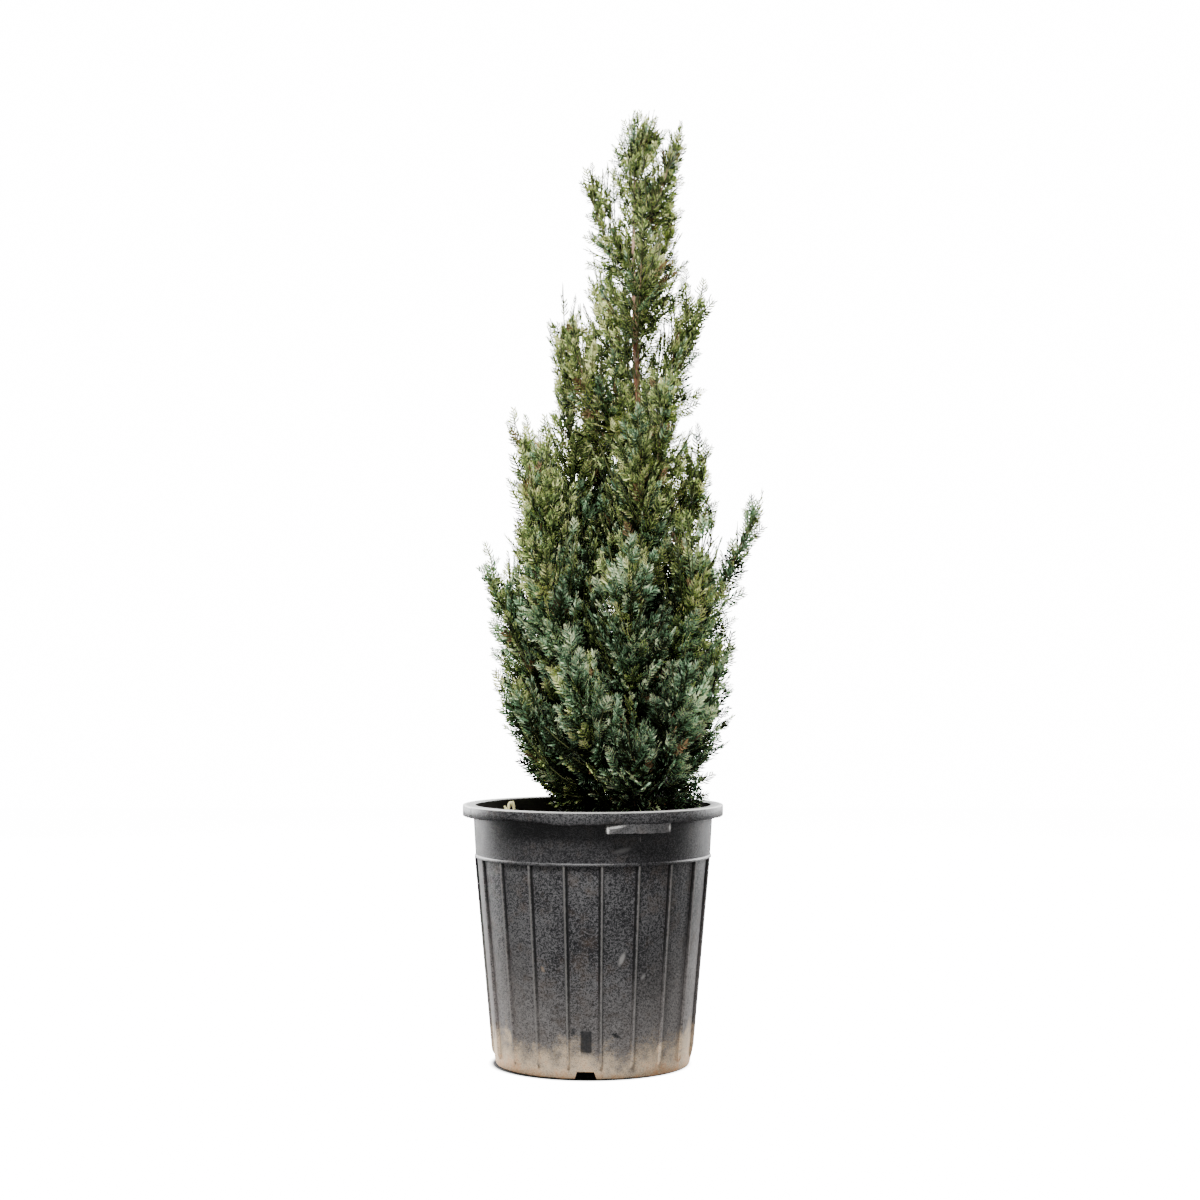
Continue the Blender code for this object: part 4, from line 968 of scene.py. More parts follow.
sprigSizes = dict(
    variants=6, seed=3, length=0.024, middle=0.008, longest=1.15, sway=0.14,
    # the axis: its blades' reach and overlap, and the turn of each about it
    axisParts=2, axisReach=0.9, axisOverlap=1.1, axisTurn=60.0, axisBack=20.0, axisWidth=0.0018,
    # branchlets: places along the axis, lengths and angles, both smaller towards the tip
    branchlets=11, firstAt=0.05, leafy=0.80, branchlet=0.0100, lengthFoot=1.15, lengthLess=0.60,
    lengths=(0.8, 1.15), angle=41.0, angleFoot=1.15, angleLess=0.45, angles=(0.85, 1.15),
    # each branchlet's blade
    lifts=(-0.12, 0.18), roll=38.0, width=0.0018, footShare=0.30, widestAt=0.60, bow=0.09,
    fold=0.0004,
    # shares with a lighter tone, with a darker one and with a pale end: the darker tones towards a
    # sprig's foot are painted shade, the lighter ones towards its tip and the pale ends partly
    # young growth and partly painted highlight
    lighterTips=0.48, darkerFeet=0.42, paleEnds=0.45)
growth = dict(
    seed=17, step=0.004,
    # twigs along the limbs: spacing, lean and longest reach
    twigSpacing=0.0023, oddSpacing=0.0018, boughSpacing=0.0038, fewestTwigs=24, jitter=0.8,
    firstShare=0.02, footAngle=50.0, tipAngle=24.0, leans=(0.8, 1.15), longestTwig=0.085,
    twigLengths=(0.6, 1.0), oddReach=2.1, oddTaper=0.35, oddLengths=(0.6, 1.1), boughReach=2.2,
    leaderTwigs=56, leaderReach=0.050, leaderLengths=(0.5, 1.0), freeFrom=0.72, upCurl=6.5,
    # the fan of twigs at each limb's tip
    tipShare=1.00, tipShares={"left": 1.25, "right": 1.00, "top": 0.80, "leader": 0.36},
    tipFan=4, fanAngle=17.0, fanFrom=0.94, fanShortest=0.60,
    # shoots straight from the trunk
    trunkShoots=130, trunkShootHeights=(0.600, 0.958), trunkShootLengths=(0.018, 0.050),
    # where a twig stops: at its neighbours, bark, the outline, the soil or the pot's mouth
    leastSteps=1.5, neighbourOverlap=0.006, barkClearance=0.0010, outlineFeather=(0.84, 1.07),
    tipFeather=1.35, soilHeight=0.250, soilClearance=0.004, rimHeight=0.277, mouthRadius=0.1265,
    mouthClearance=0.006,
    # sprigs on both sides of a twig, and others that follow it
    sprigFirst=0.006, sprigEnd=0.004, sprigSpacing=0.0076, sprigShift=0.25, sprigLeast=0.0105,
    sprigShare=0.38, sprigMost=0.026, sprigLengths=(0.8, 1.12), sprigAngle=37.0,
    sprigLeans=(0.85, 1.15), axisFirst=0.002, axisEnd=0.003, axisSpacing=0.0135,
    axisLeast=0.0130,
    # how much finer and thinner they are up high, how unevenly they lie, and their gap to bark
    highThinning=0.24, highFiner=0.20, sideRoll=0.16, flutter=0.07, roll=0.28, upturn=0.20,
    barkGap=0.002,
    # share of sprigs whose tone is drawn for the whole twig
    twigLot=0.50,
    # no sprig reaches past these
    highestTip=1.0366, deepestTip=0.1358, rightmostTip=0.1845)
# Gaps that show the sky: place across and up, half width and half height, share kept
skyGaps = (
    (-0.016, 0.690, 0.007, 0.018, 0.12),
    (-0.015, 0.727, 0.005, 0.014, 0.20),
    (-0.012, 0.757, 0.006, 0.020, 0.20),
    (0.020, 0.905, 0.008, 0.022, 0.30),
    (0.076, 0.975, 0.006, 0.022, 0.20),
    (0.112, 0.560, 0.016, 0.024, 0.25),
    (-0.086, 0.590, 0.012, 0.020, 0.35),
    (-0.054, 0.284, 0.016, 0.013, 0.10),
)
trunkWindow = dict(foot=0.690, head=0.905, halfWidth=0.0058, kept=0.16)
tintPlaces = dict(
    # where the low tones give way to the high ones, and the left side's to the right side's
    lowBelow=0.44, highAbove=0.65, leftEdge=-0.055, rightEdge=0.035,
    # inner and outer shares of the crown's radius, and what makes a sprig count as further out
    innerShare=0.34, outerShare=0.78, byTwig=0.35, byPlace=0.9, heldBack=0.10, highPower=1.5,
    # shares of warm sprays and of dry sprigs
    warmLeft=0.36, warmRight=0.14, warmHigh=0.88, dry=0.025,
    # painted shade at the crown's foot: where it starts and ends, and the least outward share kept
    # there; then painted shade in the front's hollow
    foot=(0.262, 0.365, 0.34), hollowAcross=0.022, hollowWidth=0.042, hollowTop=0.620,
    hollowFade=0.08, hollowDepth=0.05)
chance = np.random.default_rng(growth["seed"])


def addParts(parts, *values):
    for key, value in zip(parts, values):
        parts[key].append(value)


def joined(parts):
    return {key: np.concatenate(value) for key, value in parts.items()}


def chosenOf(parts, keep):
    return {key: value[keep] for key, value in parts.items()}


def insideCrown(points, odd, feather):
    g = growth
    height = points[:, 2]
    inside = height > g["soilHeight"] + g["soilClearance"]
    low = height < g["rimHeight"] + g["mouthClearance"]
    fromAxis = np.hypot(points[:, 0], points[:, 1])
    inside &= ~low | (fromAxis < g["mouthRadius"] - g["mouthClearance"])
    offMiddle = np.hypot(points[:, 0] - crownMiddle(height), points[:, 1])
    return inside & (odd | (offMiddle < crownRadius(height) * feather))


def squareTo(ahead, angle):
    helper = np.where(np.abs(ahead[:, 2:3]) > 0.9, (1.0, 0.0, 0.0), (0.0, 0.0, 1.0))
    across = unit(np.cross(helper, ahead))
    other = np.cross(ahead, across)
    return across * np.cos(angle)[:, None] + other * np.sin(angle)[:, None]


def leaned(ahead, out, lean):
    return unit(ahead * np.cos(lean)[:, None] + out * np.sin(lean)[:, None])


def curvePoint(twigs, index, s):
    rise = np.zeros((len(s), 3))
    rise[:, 2] = growth["upCurl"] * s * s
    return twigs["root"][index] + twigs["ahead"][index] * s[:, None] + rise


def curveAhead(twigs, index, s):
    slope = twigs["ahead"][index].copy()
    slope[:, 2] += 2.0 * growth["upCurl"] * s
    return unit(slope)


# Roots, directions and free lengths of twigs round every limb, before they are cut to fit
def startTwigs():
    g = growth
    parts = dict(root=[], ahead=[], owner=[], most=[], free=[])
    for index, limb in enumerate(limbs):
        odd, leader = limb["name"] in oddShoots, limb["name"] == "leader"
        spacing = g["oddSpacing"] if odd or leader else g["twigSpacing"]
        reach = g["oddReach"]
        if limb["name"] == "right_bough":
            spacing, reach = g["boughSpacing"], g["boughReach"]
        count = max(g["fewestTwigs"], int((1.0 - limb["first"]) * limb["length"] / spacing))
        if leader:
            count = g["leaderTwigs"]
        share = (np.arange(count) + chance.uniform(0.0, g["jitter"], count)) / count
        t = limb["first"] + (1.0 - limb["first"]) * np.clip(share, g["firstShare"], 1.0)
        ahead = limbAhead(limb, t)
        out = squareTo(ahead, treeSizes["goldenTurn"] * np.arange(count) + index)
        lean = np.radians(g["footAngle"] + (g["tipAngle"] - g["footAngle"]) * share)
        lean = lean * chance.uniform(*g["leans"], count)
        most = g["longestTwig"] * chance.uniform(*g["twigLengths"], count)
        if leader:
            most = g["leaderReach"] * chance.uniform(*g["leaderLengths"], count)
        if odd:
            most = limb["spread"] * reach * (1.0 - g["oddTaper"] * share)
            most = most * chance.uniform(*g["oddLengths"], count)
        addParts(parts, limbPoint(limb, t), leaned(ahead, out, lean), np.full(count, index),
                 most, odd & (share > g["freeFrom"]))
        # the stem runs on as one long twig with a narrow fan of shorter ones round it
        fan = np.arange(g["tipFan"] + 1)
        t = np.linspace(1.0, g["fanFrom"], len(fan))
        ahead = limbAhead(limb, t)
        out = squareTo(ahead, 2.0 * math.pi * fan / g["tipFan"] + index)
        lean = np.radians(g["fanAngle"]) * (fan > 0)
        tipShare = g["tipShares"].get(limb["name"].split("_")[0], g["tipShare"])
        most = limb["spray"] * tipShare * np.linspace(1.0, g["fanShortest"], len(fan))
        addParts(parts, limbPoint(limb, t), leaned(ahead, out, lean), np.full(len(fan), index),
                 most, fan >= 0)
    # short shoots straight from the upper trunk close the crown round it
    count = g["trunkShoots"]
    heights = np.linspace(*g["trunkShootHeights"], count)
    turn = treeSizes["goldenTurn"] * np.arange(count)
    lean = np.radians(chance.uniform(g["tipAngle"], g["footAngle"], count))
    out = np.stack((np.cos(turn), np.sin(turn), np.zeros(count)), axis=1)
    ahead = out * np.sin(lean)[:, None]
    ahead[:, 2] = np.cos(lean)
    # each belongs to the top storey's limb whose root is nearest
    far = 9.0
    tops = np.array([limb["start"][2] if limb["name"].startswith("top") else far
                     for limb in limbs])
    addParts(parts, trunkLine(heights) + out * trunkRadius(heights)[:, None], ahead,
             np.abs(heights[:, None] - tops).argmin(axis=1),
             chance.uniform(*g["trunkShootLengths"], count), np.ones(count, bool))
    return joined(parts)


# Each twig grows step by step until it meets its neighbours' space, the outline or bark
def growTwigs():
    g = growth
    twigs = startTwigs()
    free, count = twigs["free"], len(twigs["free"])
    twigs["side"] = squareTo(twigs["ahead"], chance.uniform(0.0, math.pi, count))
    twigs["odd"] = np.array([limb["name"] in oddShoots for limb in limbs])[twigs["owner"]]
    twigs["feather"] = chance.uniform(*g["outlineFeather"], count)
    atTip = free & (np.arange(count) < count - g["trunkShoots"])
    twigs["feather"][atTip] = g["tipFeather"]
    going = np.ones(count, bool)
    twigs["length"] = np.zeros(count)
    for k in range(1, int(g["longestTwig"] / g["step"]) + 1):
        index = np.nonzero(going)[0]
        s = np.full(len(index), k * g["step"])
        points = curvePoint(twigs, index, s)
        own, others, bark = spaceGaps(points, twigs["owner"][index])
        fits = insideCrown(points, twigs["odd"][index], twigs["feather"][index])
        fits &= free[index] | (own < others + g["neighbourOverlap"])
        fits &= (bark > g["barkClearance"]) & (s <= twigs["most"][index])
        twigs["length"][index[fits]] = s[fits]
        going[index[~fits]] = False
    return chosenOf(twigs, twigs["length"] >= g["leastSteps"] * g["step"])


def placesAlong(length, first, spacing):
    count = np.maximum(0, np.floor((length - first) / spacing).astype(int) + 1)
    index = np.repeat(np.arange(len(length)), count)
    order = np.arange(len(index)) - np.repeat(np.cumsum(count) - count, count)
    return index, order


# Each twig is a plume: sprigs leave both sides of it in one plane, shorter towards its tip
def growSprigs(twigs):
    g = growth
    parts = dict(root=[], ahead=[], facing=[], size=[], twig=[], share=[])

    def add(twig, s, side, lean, length):
        along = curveAhead(twigs, twig, s)
        side = unit(side + g["sideRoll"] * chance.normal(size=side.shape))
        side = unit(side - along * (side * along).sum(axis=1, keepdims=True))
        flutter = g["flutter"] * chance.normal(size=along.shape)
        flutter[:, 2] += g["upturn"] * np.sin(lean)
        lean = lean[:, None]
        facing = np.cross(twigs["side"][twig], along)
        addParts(parts, curvePoint(twigs, twig, s),
                 unit(along * np.cos(lean) + side * np.sin(lean) + flutter),
                 unit(facing + g["roll"] * chance.normal(size=facing.shape)),
                 length / sprigSizes["length"], twig, s / twigs["length"][twig])

    # finer and closer towards the top
    low = tintPlaces["lowBelow"]
    high = (twigs["root"][:, 2] - low) / (1.0 - low)
    fine = 1.0 - g["highFiner"] * np.clip(high, 0.0, 1.0)
    spacing = g["sprigSpacing"] * fine
    twig, order = placesAlong(twigs["length"] - g["sprigEnd"], g["sprigFirst"], spacing)
    shift = chance.uniform(-g["sprigShift"], g["sprigShift"], len(twig))
    s = g["sprigFirst"] + (order + shift) * spacing[twig]
    length = g["sprigLeast"] + g["sprigShare"] * (twigs["length"][twig] - s)
    length = np.minimum(length, g["sprigMost"]) * chance.uniform(*g["sprigLengths"], len(twig))
    lean = np.radians(g["sprigAngle"] * chance.uniform(*g["sprigLeans"], len(twig)))
    sign = np.where(order % 2 == 0, 1.0, -1.0)[:, None]
    add(twig, s, twigs["side"][twig] * sign, lean, length * fine[twig])
    # others follow the twig itself and run on past its end
    twig, order = placesAlong(twigs["length"] - g["axisEnd"], g["axisFirst"], g["axisSpacing"])
    s = g["axisFirst"] + order * g["axisSpacing"]
    length = np.minimum(g["axisLeast"] + twigs["length"][twig] - s, g["sprigMost"])
    add(twig, s, twigs["side"][twig], np.zeros(len(twig)), length * fine[twig])
    return joined(parts)


# Where the inner shoots stand, and their sizes and leans
innerSizes = dict(spacing=0.0020, span=(0.03, 0.97), trunkFoot=0.262, trunkHead=0.600,
                  highest=0.640, highShare=0.10, size=1.15, sizes=(0.75, 1.15), nearSize=1.10,
                  leans=(35.0, 75.0), reach=0.020, feather=0.80)


# Short shaded shoots close round the boughs and the trunk, where little light gets in
def growInner():
    z = innerSizes
    lines = []
    for index, limb in enumerate(limbs):
        if limb["name"] not in ("right_bough", "right_top", "leader"):
            t = chance.uniform(*z["span"], int(limb["length"] / z["spacing"]))
            lines.append((limbPoint(limb, t), limbAhead(limb, t), limbRadius(limb, t), index))
    low, head = z["trunkFoot"], z["trunkHead"]
    heights = chance.uniform(low, head, int((head - low) / (0.5 * z["spacing"])))
    upward = np.tile((0.0, 0.0, 1.0), (len(heights), 1))
    lines.append((trunkLine(heights), upward, trunkRadius(heights), 0))
    parts = dict(root=[], ahead=[], facing=[], size=[], twig=[], share=[], owner=[])
    for points, ahead, radius, owner in lines:
        count = len(points)
        out = squareTo(ahead, chance.uniform(0.0, 2.0 * math.pi, count))
        lean = np.radians(chance.uniform(*z["leans"], count))
        addParts(parts, points + out * radius[:, None], leaned(ahead, out, lean),
                 unit(chance.normal(size=(count, 3))),
                 z["size"] * chance.uniform(*z["sizes"], count), np.full(count, -1),
                 np.zeros(count), np.full(count, owner))
    inner = joined(parts)
    tip = inner["root"] + z["reach"] * inner["ahead"]
    keep = insideCrown(tip, np.zeros(len(tip), bool), z["feather"])
    keep &= (tip[:, 2] < z["highest"]) | (chance.uniform(size=len(tip)) < z["highShare"])
    return chosenOf(inner, keep)


# How far out in the crown each sprig sits, from none near the trunk to one at the outline; the
# darker tones dealt by it deep in the crown are painted shade
def outwardShare(sprigs):
    t = tintPlaces
    place = sprigs["root"] + sprigSizes["middle"] * sprigs["ahead"]
    across, deep, height = place.T
    off = np.hypot(across - crownMiddle(height), deep) / crownRadius(height)
    out = np.clip((off - t["innerShare"]) / (t["outerShare"] - t["innerShare"]), 0.0, 1.0)
    out = np.clip(t["byTwig"] * sprigs["share"] + t["byPlace"] * out - t["heldBack"], 0.0, 1.0)
    # lowered at the crown's foot and in the front's hollow, painted shade; raised up high
    low, head, least = t["foot"]
    out = out * np.clip((height - low) / (head - low), least, 1.0)
    middle = np.exp(-((across - t["hollowAcross"]) / t["hollowWidth"]) ** 2)
    middle *= (deep < 0.0) * np.clip((t["hollowTop"] - height) / t["hollowFade"], 0.0, 1.0)
    high = np.clip((height - t["lowBelow"]) / (t["highAbove"] - t["lowBelow"]), 0.0, 1.0)
    out = (out + (1.0 - out) * high ** t["highPower"]) * (1.0 - t["hollowDepth"] * middle)
    return np.where(sprigs["twig"] < 0, 0.0, out), high, place


# Opens the gaps in which the sky shows, and the strip before the trunk
def keptSprigs():
    g, w = growth, trunkWindow
    middle = sprigs["root"] + sprigSizes["middle"] * sprigs["ahead"]
    across, deep, height = middle.T
    lot = chance.uniform(size=len(middle))
    kept = np.ones(len(middle), bool)
    for gapAcross, up, halfWidth, halfHeight, share in skyGaps:
        off = np.hypot((across - gapAcross) / halfWidth, (height - up) / halfHeight)
        kept &= (off > 1.0) | (lot < share)
    trunkAcross = np.interp(height, treeSizes["trunkHeights"], treeSizes["trunkAcross"])
    window = (height > w["foot"]) & (height < w["head"]) & (deep < 0.0)
    window &= np.abs(across - trunkAcross) < w["halfWidth"]
    kept &= ~window | (lot < w["kept"])
    kept &= chance.uniform(size=len(middle)) > g["highThinning"] * outwardShare(sprigs)[1]
    reach = sprigSizes["longest"] * sprigSizes["length"] * sprigs["size"]
    tips = sprigs["root"] + sprigs["ahead"] * reach[:, None]
    kept &= (tips[:, 2] < g["highestTip"]) & (np.abs(tips[:, 1]) < g["deepestTip"])
    kept &= tips[:, 0] < g["rightmostTip"]
    return kept & ((spaceGaps(middle, sprigs["owner"])[2] > g["barkGap"]) | (sprigs["twig"] < 0))


twigs = growTwigs()
sprigs = growSprigs(twigs)
sprigs["owner"] = twigs["owner"][sprigs["twig"]]
inner = growInner()
sprigs = {key: np.concatenate((sprigs[key], inner[key])) for key in sprigs}
sprigs = chosenOf(sprigs, keptSprigs())
shaded = (sprigs["twig"] >= 0) * (1.0 - outwardShare(sprigs)[0])
sprigs["size"] = sprigs["size"] * (1.0 + (innerSizes["nearSize"] - 1.0) * shaded)
print(len(twigs["length"]), "twigs,", len(sprigs["size"]), "sprigs grown")


# Adds a blade of three faces: a foot one tone darker, painted shade, the branchlet's own tone, and
# an end that may be paler, partly young growth and partly painted highlight
def addBranchlet(shape, root, ahead, length, width, bow, roll, tone, tipLift):
    z = sprigSizes
    side = np.array((ahead[1], -ahead[0], 0.0))
    blade = side * math.cos(roll) + np.array((0.0, 0.0, math.sin(roll)))
    foot = blade * z["footShare"] * width
    middle = root + ahead * length * z["widestAt"] + side * bow * length
    down = np.array((0.0, 0.0, z["fold"]))
    start = len(shape["vertices"])
    shape["vertices"].extend((root - foot, root + foot, middle + blade * 0.5 * width - down,
                              root + ahead * length, middle - blade * 0.5 * width))
    shape["faces"] += [(start, start + 1, start + 2), (start, start + 2, start + 4),
                       (start + 4, start + 2, start + 3)]
    shape["tones"] += [tone - 1, tone, tone + tipLift]


def makeSprigShapes():
    group = newGroup("sprig shapes")
    z = sprigSizes
    rng = np.random.default_rng(z["seed"])
    full = z["length"]
    for variant in range(z["variants"]):
        shape = dict(vertices=[], faces=[], tones=[])
        sway = rng.uniform(-z["sway"], z["sway"])
        for k in range(z["axisParts"]):
            share = k / z["axisParts"]
            root = np.array((sway * full * share ** 2, full * z["axisReach"] * share, 0.0))
            ahead = unit(np.array((2.0 * sway * share, 1.0, 0.0)))
            roll = math.radians(z["axisTurn"] * k - z["axisBack"])
            addBranchlet(shape, root, ahead, full * z["axisOverlap"] / z["axisParts"],
                         z["axisWidth"], 0.0, roll, k - 1, 0)
        for k in range(z["branchlets"]):
            share = (k + 0.5) / z["branchlets"]
            turn = math.radians(z["angle"] * rng.uniform(*z["angles"])
                                * (z["angleFoot"] - z["angleLess"] * share))
            sign = 1.0 if k % 2 else -1.0
            ahead = np.array((sign * math.sin(turn), math.cos(turn), rng.uniform(*z["lifts"])))
            root = np.array((sway * full * share * share,
                             full * (z["firstAt"] + z["leafy"] * share), 0.0))
            length = (z["branchlet"] * (z["lengthFoot"] - z["lengthLess"] * share)
                      * rng.uniform(*z["lengths"]))
            roll = math.radians(rng.uniform(-z["roll"], z["roll"]))
            # lighter towards the sprig's tip, partly painted highlight, and darker towards its
            # foot, painted shade
            tone = int(rng.uniform() < z["lighterTips"] * 2.0 * share)
            tone -= int(rng.uniform() < z["darkerFeet"] * 2.0 * (1.0 - share))
            tipLift = int(rng.uniform() < z["paleEnds"])
            addBranchlet(shape, root, ahead, length, z["width"], sign * z["bow"], roll, tone,
                         tipLift)
        obj = meshObject("sprig_shape_%d" % variant, shape["vertices"], shape["faces"],
                         group=group)
        addLayer(obj.data, "lighter", "INT", shape["tones"], "FACE")
    return group


# Scale leaves under a thin wax bloom: matt and soft, and paler the younger they are. There are two
# dark tones, three cool and three warm ones from dull to pale, and dry. A twig's spray is cool or
# warm, and a sprig takes its tone by its height and how far out it sits: the dark tones dealt deep
# in the crown, at its foot and in the front's hollow are painted shade, and the pale ones further
# out are partly young growth and partly painted light.
leafTints = {
    "deep shaded scale leaves": ("#0d1406", 0.70),
    "shaded green scale leaves": ("#2c3a20", 0.60),
    "blue-green scale leaves": ("#638764", 0.55),
    "pale blue-green waxy scale leaves": ("#adcea6", 0.50),
    "pale grey-green new scale leaves": ("#e6f3c2", 0.50),
    "olive green scale leaves": ("#70854b", 0.55),
    "light yellow-green scale leaves": ("#bccd7c", 0.50),
    "pale yellow-green new scale leaves": ("#f2f3ac", 0.50),
    "dry brown scale leaves": ("#83684a", 0.65),
}
# Shares of sprigs whose tone is deep, shaded, dull, light and pale
toneShares = dict(inner=(0.64, 0.28, 0.08, 0.00, 0.00), low=(0.05, 0.10, 0.33, 0.35, 0.17),
                  high=(0.00, 0.06, 0.53, 0.35, 0.06))
# What each sprig's point carries, and the tone change that each face of a sprig adds
sprayLayers = dict(ahead="FLOAT_VECTOR", facing="FLOAT_VECTOR", size="FLOAT", tone="INT",
                   kind="INT", lighter="INT")
sprayPieces = dict(triangles=190000, smallest=0.85, largest=1.15)


def dealTints():
    t = tintPlaces
    out, high, place = outwardShare(sprigs)
    right = np.clip((place[:, 0] - t["leftEdge"]) / (t["rightEdge"] - t["leftEdge"]), 0.0, 1.0)
    inside, low, above = (np.array(shares) for shares in toneShares.values())
    shares = low * (1.0 - high[:, None]) + above * high[:, None]
    shares = inside * (1.0 - out[:, None]) + shares * out[:, None]
    bands = np.cumsum(shares / shares.sum(axis=1, keepdims=True), axis=1)
    warmShare = t["warmLeft"] + (t["warmRight"] - t["warmLeft"]) * right
    warmShare = warmShare + (t["warmHigh"] - warmShare) * high
    warm = chance.uniform(size=len(twigs["length"]))[sprigs["twig"]] < warmShare
    toneLot = chance.uniform(size=len(twigs["length"]))[sprigs["twig"]]
    own = chance.uniform(size=len(place))
    toneLot = np.where(chance.uniform(size=len(place)) < growth["twigLot"], toneLot, own)
    tone = (toneLot[:, None] > bands).sum(axis=1).clip(0, 4)
    dry = chance.uniform(size=len(place)) < t["dry"]
    return tone, np.where(dry, 2, warm)


def makeSprayRule():
    tree, given = newRule("sprays on twigs", {
        "Sprig shapes": "Collection", "Seed": "Int", "Smallest": "Float", "Largest": "Float",
        **{name: "Material" for name in leafTints}})
    ahead, facing, size, tone, kind, lighter = (
        addNode(tree, "GeometryNodeInputNamedAttribute", name, data_type=dataType)
        for name, dataType in sprayLayers.items())
    shapes = addNode(tree, "GeometryNodeCollectionInfo", given["Sprig shapes"], True, True)
    turn = addNode(tree, "FunctionNodeAxesToRotation", ahead, facing, primary_axis="Y",
                   secondary_axis="Z")
    change = addNode(tree, "FunctionNodeRandomValue", given["Smallest"], given["Largest"], None,
                     given["Seed"], data_type="FLOAT")
    scale = addNode(tree, "Math", size, change, operation="MULTIPLY")
    placed = addNode(tree, "GeometryNodeInstanceOnPoints", given["Geometry"], None, shapes, True,
                     None, turn, scale)
    real = addNode(tree, "GeometryNodeRealizeInstances", placed)
    # dark tones are shared, lighter ones come as three for each kind of spray
    for operation, value in (("ADD", lighter), ("MAXIMUM", 0.0), ("MINIMUM", 4.0)):
        tone = addNode(tree, "Math", tone, value, operation=operation)
    place = addNode(tree, "Math", tone, 1.5, operation="GREATER_THAN")
    for operation, value in (("MULTIPLY", 3.0), ("MULTIPLY", kind), ("ADD", tone),
                             ("MINIMUM", 8.0)):
        place = addNode(tree, "Math", place, value, operation=operation)
    coats = [(addNode(tree, "Math", place, float(index), 0.5, operation="COMPARE"), given[name])
             for index, name in enumerate(leafTints)]
    return endRule(tree, real, *coats)


def massGroups(count, most):
    groups, total = [[]], 0
    for index in range(len(limbs)):
        if groups[-1] and total + count[index] > most:
            groups.append([])
            total = 0
        groups[-1].append(index)
        total += count[index]
    return groups


def makeFoliage():
    sprigs["tone"], sprigs["kind"] = dealTints()
    shapes, rule = makeSprigShapes(), makeSprayRule()
    values = {"Sprig shapes": shapes, "Seed": growth["seed"],
              "Smallest": sprayPieces["smallest"], "Largest": sprayPieces["largest"]}
    for name, (colour, roughness) in leafTints.items():
        values[name] = newMaterial(name, colour, roughness, 1.45, 0.14)[0]
    facesEach = len(shapes.objects[0].data.polygons)
    count = np.bincount(sprigs["owner"], minlength=len(limbs))
    for number, group in enumerate(massGroups(count, sprayPieces["triangles"] // facesEach)):
        chosen = chosenOf(sprigs, np.isin(sprigs["owner"], group))
        obj = meshObject("foliage_sprays_%d" % (number + 1), chosen["root"], [])
        for name, kind in sprayLayers.items():
            if name in chosen:
                addLayer(obj.data, name, kind, chosen[name])
        applyRule(obj, rule, values)
        for name in sprayLayers:
            layer = obj.data.attributes.get(name)
            if layer:
                obj.data.attributes.remove(layer)
        finishPiece(obj, "leaves", *("foliage_" + limbs[k]["name"] for k in group))
    removeGroup(shapes)


makeFoliage()
print("foliage made")


# Twigs as thin three-sided tubes. Trunk, boughs and stems get bark relief, whose ridges are about
# 2.4 mm wide and 17 mm long.

twigSizes = dict(foot=0.00095, tip=0.00060, sides=3, part=0.014)
barkSizes = dict(spacing=0.0022, trunkSides=20, limbSides=8, relief=0.32, level=0.55,
                 grain=(420.0, 420.0, 60.0), pale=(0.76, 0.88, 0.0, 0.70), trunkParts=90,
                 limbParts=24)


# Runs a skin along lines. With relief, it is finely divided and raised by drawn-out noise.
def makeSkinRule(name, relief):
    tree, given = newRule(name, {
        "Sides": "Int", "Spacing": "Float", "Relief": "Float", "Bark": "Material"})
    curve = addNode(tree, "GeometryNodeMeshToCurve", given["Geometry"])
    thick = addNode(tree, "GeometryNodeInputNamedAttribute", "thick", data_type="FLOAT")
    if relief:
        curve = addNode(tree, "GeometryNodeResampleCurve", curve, None, given["Spacing"],
                        mode="LENGTH")
    ring = addNode(tree, "GeometryNodeCurvePrimitiveCircle", given["Sides"], 1.0)
    skin = addNode(tree, "GeometryNodeCurveToMesh", curve, ring, thick, True)
    if relief:
        drawn = addNode(tree, "VectorMath", addNode(tree, "GeometryNodeInputPosition"),
                        barkSizes["grain"], operation="MULTIPLY")
        lift = addNode(tree, "TexNoise", drawn, 1.0, 3.0)
        for operation, value in (("SUBTRACT", barkSizes["level"]), ("MULTIPLY", given["Relief"]),
                                 ("MULTIPLY", thick)):
            lift = addNode(tree, "Math", lift, value, operation=operation)
        offset = addNode(tree, "VectorMath", addNode(tree, "GeometryNodeInputNormal"), lift,
                         operation="SCALE")
        skin = addNode(tree, "GeometryNodeSetPosition", skin, None, None, offset)
        skin = addNode(tree, "GeometryNodeSetShadeSmooth", skin)
    return endRule(tree, skin, (None, given["Bark"]))


def tubeObject(name, lines, radii, rule, values):
    edges, start = [], 0
    for line in lines:
        edges.extend((k, k + 1) for k in range(start, start + len(line) - 1))
        start += len(line)
    obj = meshObject(name, np.concatenate(lines), [], edges)
    addLayer(obj.data, "thick", "FLOAT", np.concatenate(radii))
    return applyRule(obj, rule, values)


def makeTwigs():
    lines, radii = [], []
    for k, length in enumerate(twigs["length"]):
        count = max(3, int(length / twigSizes["part"]) + 2)
        lines.append(curvePoint(twigs, np.full(count, k), np.linspace(0.0, length, count)))
        radii.append(np.linspace(twigSizes["foot"], twigSizes["tip"], count))
    # thin twigs clad in scale leaves: a dull green-brown that sinks in among the sprays
    skin = newMaterial("green-brown scaly twig skin", "#666d42", 0.6, 1.45, 0.30)[0]
    obj = tubeObject("fine_twigs", lines, radii, makeSkinRule("tubes along limbs", False),
                     {"Sides": twigSizes["sides"], "Bark": skin})
    finishPiece(obj, "bark")


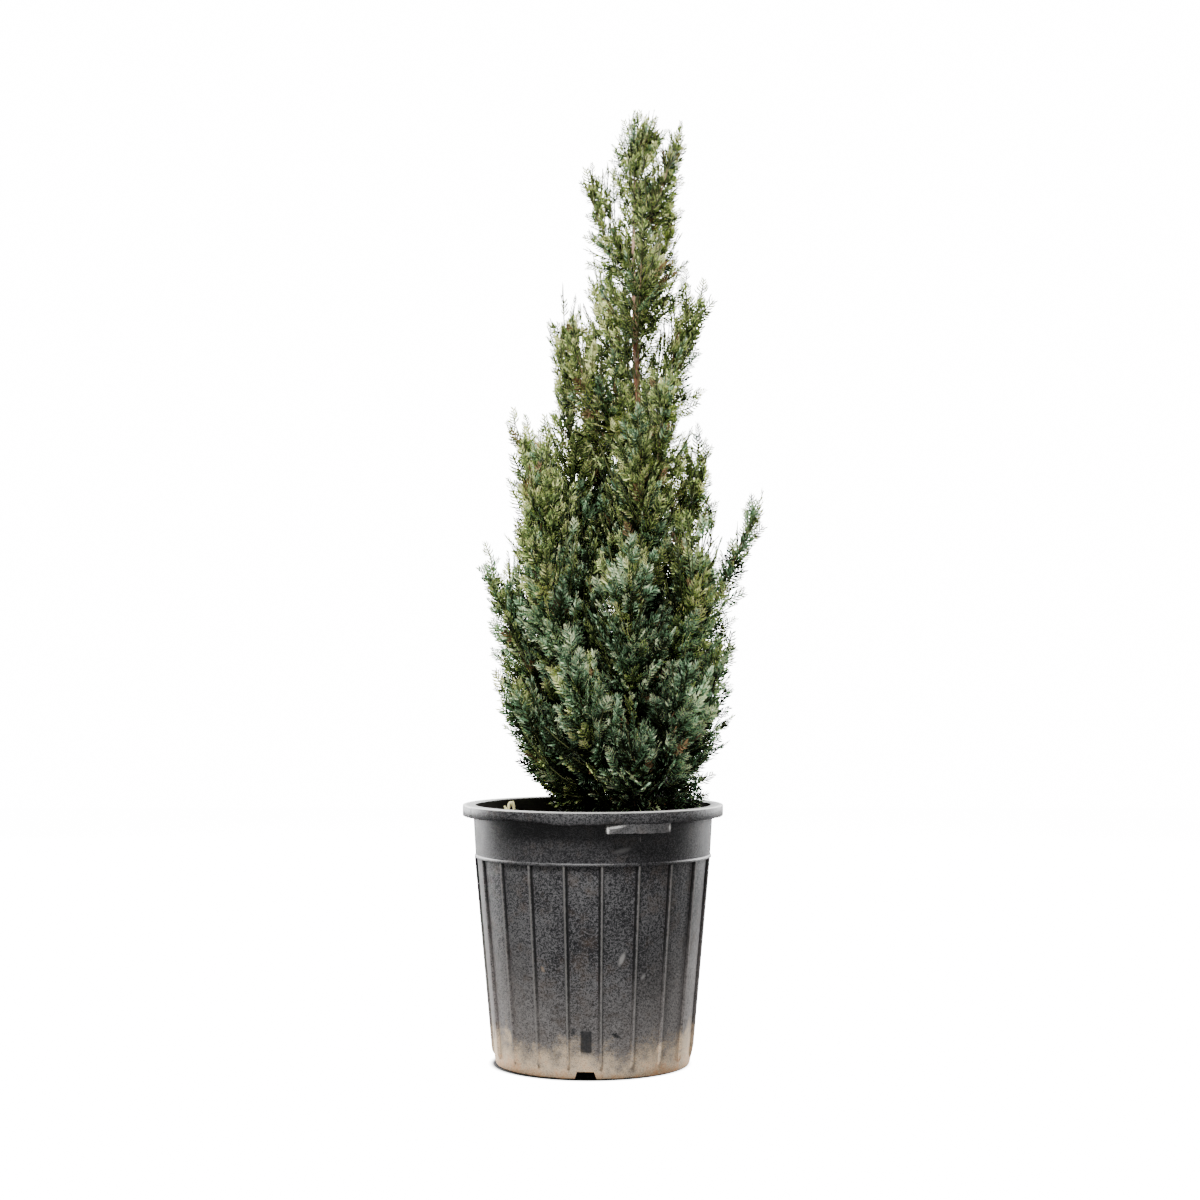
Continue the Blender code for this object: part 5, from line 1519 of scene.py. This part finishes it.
def barkMaterial():
    # stringy young bark: red-brown strips with grey, dusty ridges, paler where it is youngest
    material, tree, shader = newMaterial("stringy reddish cypress bark", "#7a4a36", 0.82)
    place = addNode(tree, "TexCoord").node.outputs["Object"]
    height = addNode(tree, "SeparateXYZ", place).node.outputs["Z"]
    # strips about 1 mm wide and 11 mm long, coarser than real ones so that they show, and dusty
    # patches of about 17 mm
    drawn = addNode(tree, "Mapping", place, None, None, (900.0, 900.0, 90.0))
    strips = addNode(tree, "TexNoise", drawn, 1.0, 4.0)
    patches = addNode(tree, "TexNoise", place, 60.0, 3.0)
    coats = [(tint, addNode(tree, "MapRange", value, *ends, **smooth)) for tint, value, ends in (
        ("#ad7a60", strips, (0.35, 0.62)), ("#b49c88", patches, (0.50, 0.72)),
        ("#d3b09c", height, barkSizes["pale"]))]
    tree.links.new(layCoats(tree, "#5f3a2a", coats), shader["Base Color"])
    tree.links.new(addNode(tree, "Bump", 0.5, 0.0006, None, strips), shader["Normal"])
    return material


def stemMaterial():
    # young stems: dull tan skin with pale streaks
    material, tree, shader = newMaterial("dull tan stem bark", "#8c745a", 0.75)
    place = addNode(tree, "TexCoord").node.outputs["Object"]
    # streaks about 3 mm wide, as coarse as they need to be to show
    streaks = addNode(tree, "TexNoise", place, 300.0, 3.0)
    share = addNode(tree, "MapRange", streaks, 0.42, 0.62, **smooth)
    tree.links.new(layCoats(tree, "#69533f", [("#b59a7c", share)]), shader["Base Color"])
    return material


def makeWood():
    z = barkSizes
    rule = makeSkinRule("bark relief along limbs", True)
    values = {"Sides": z["trunkSides"], "Spacing": z["spacing"], "Relief": z["relief"],
              "Bark": barkMaterial()}
    heights = np.linspace(*trunkEnds, z["trunkParts"])
    trunk = tubeObject("trunk_bark", [trunkLine(heights)], [trunkRadius(heights)], rule, values)
    finishPiece(trunk, "bark", "trunk")
    values.update({"Sides": z["limbSides"], "Bark": stemMaterial()})
    t = np.linspace(0.0, 1.0, z["limbParts"])
    boughs = tubeObject("boughs_and_stems", [limbPoint(limb, t) for limb in limbs],
                        [limbRadius(limb, t) for limb in limbs], rule, values)
    finishPiece(boughs, "bark", *("bough_" + limb["name"] for limb in limbs if limb["share"]))


makeTwigs()
makeWood()
print("wood made")
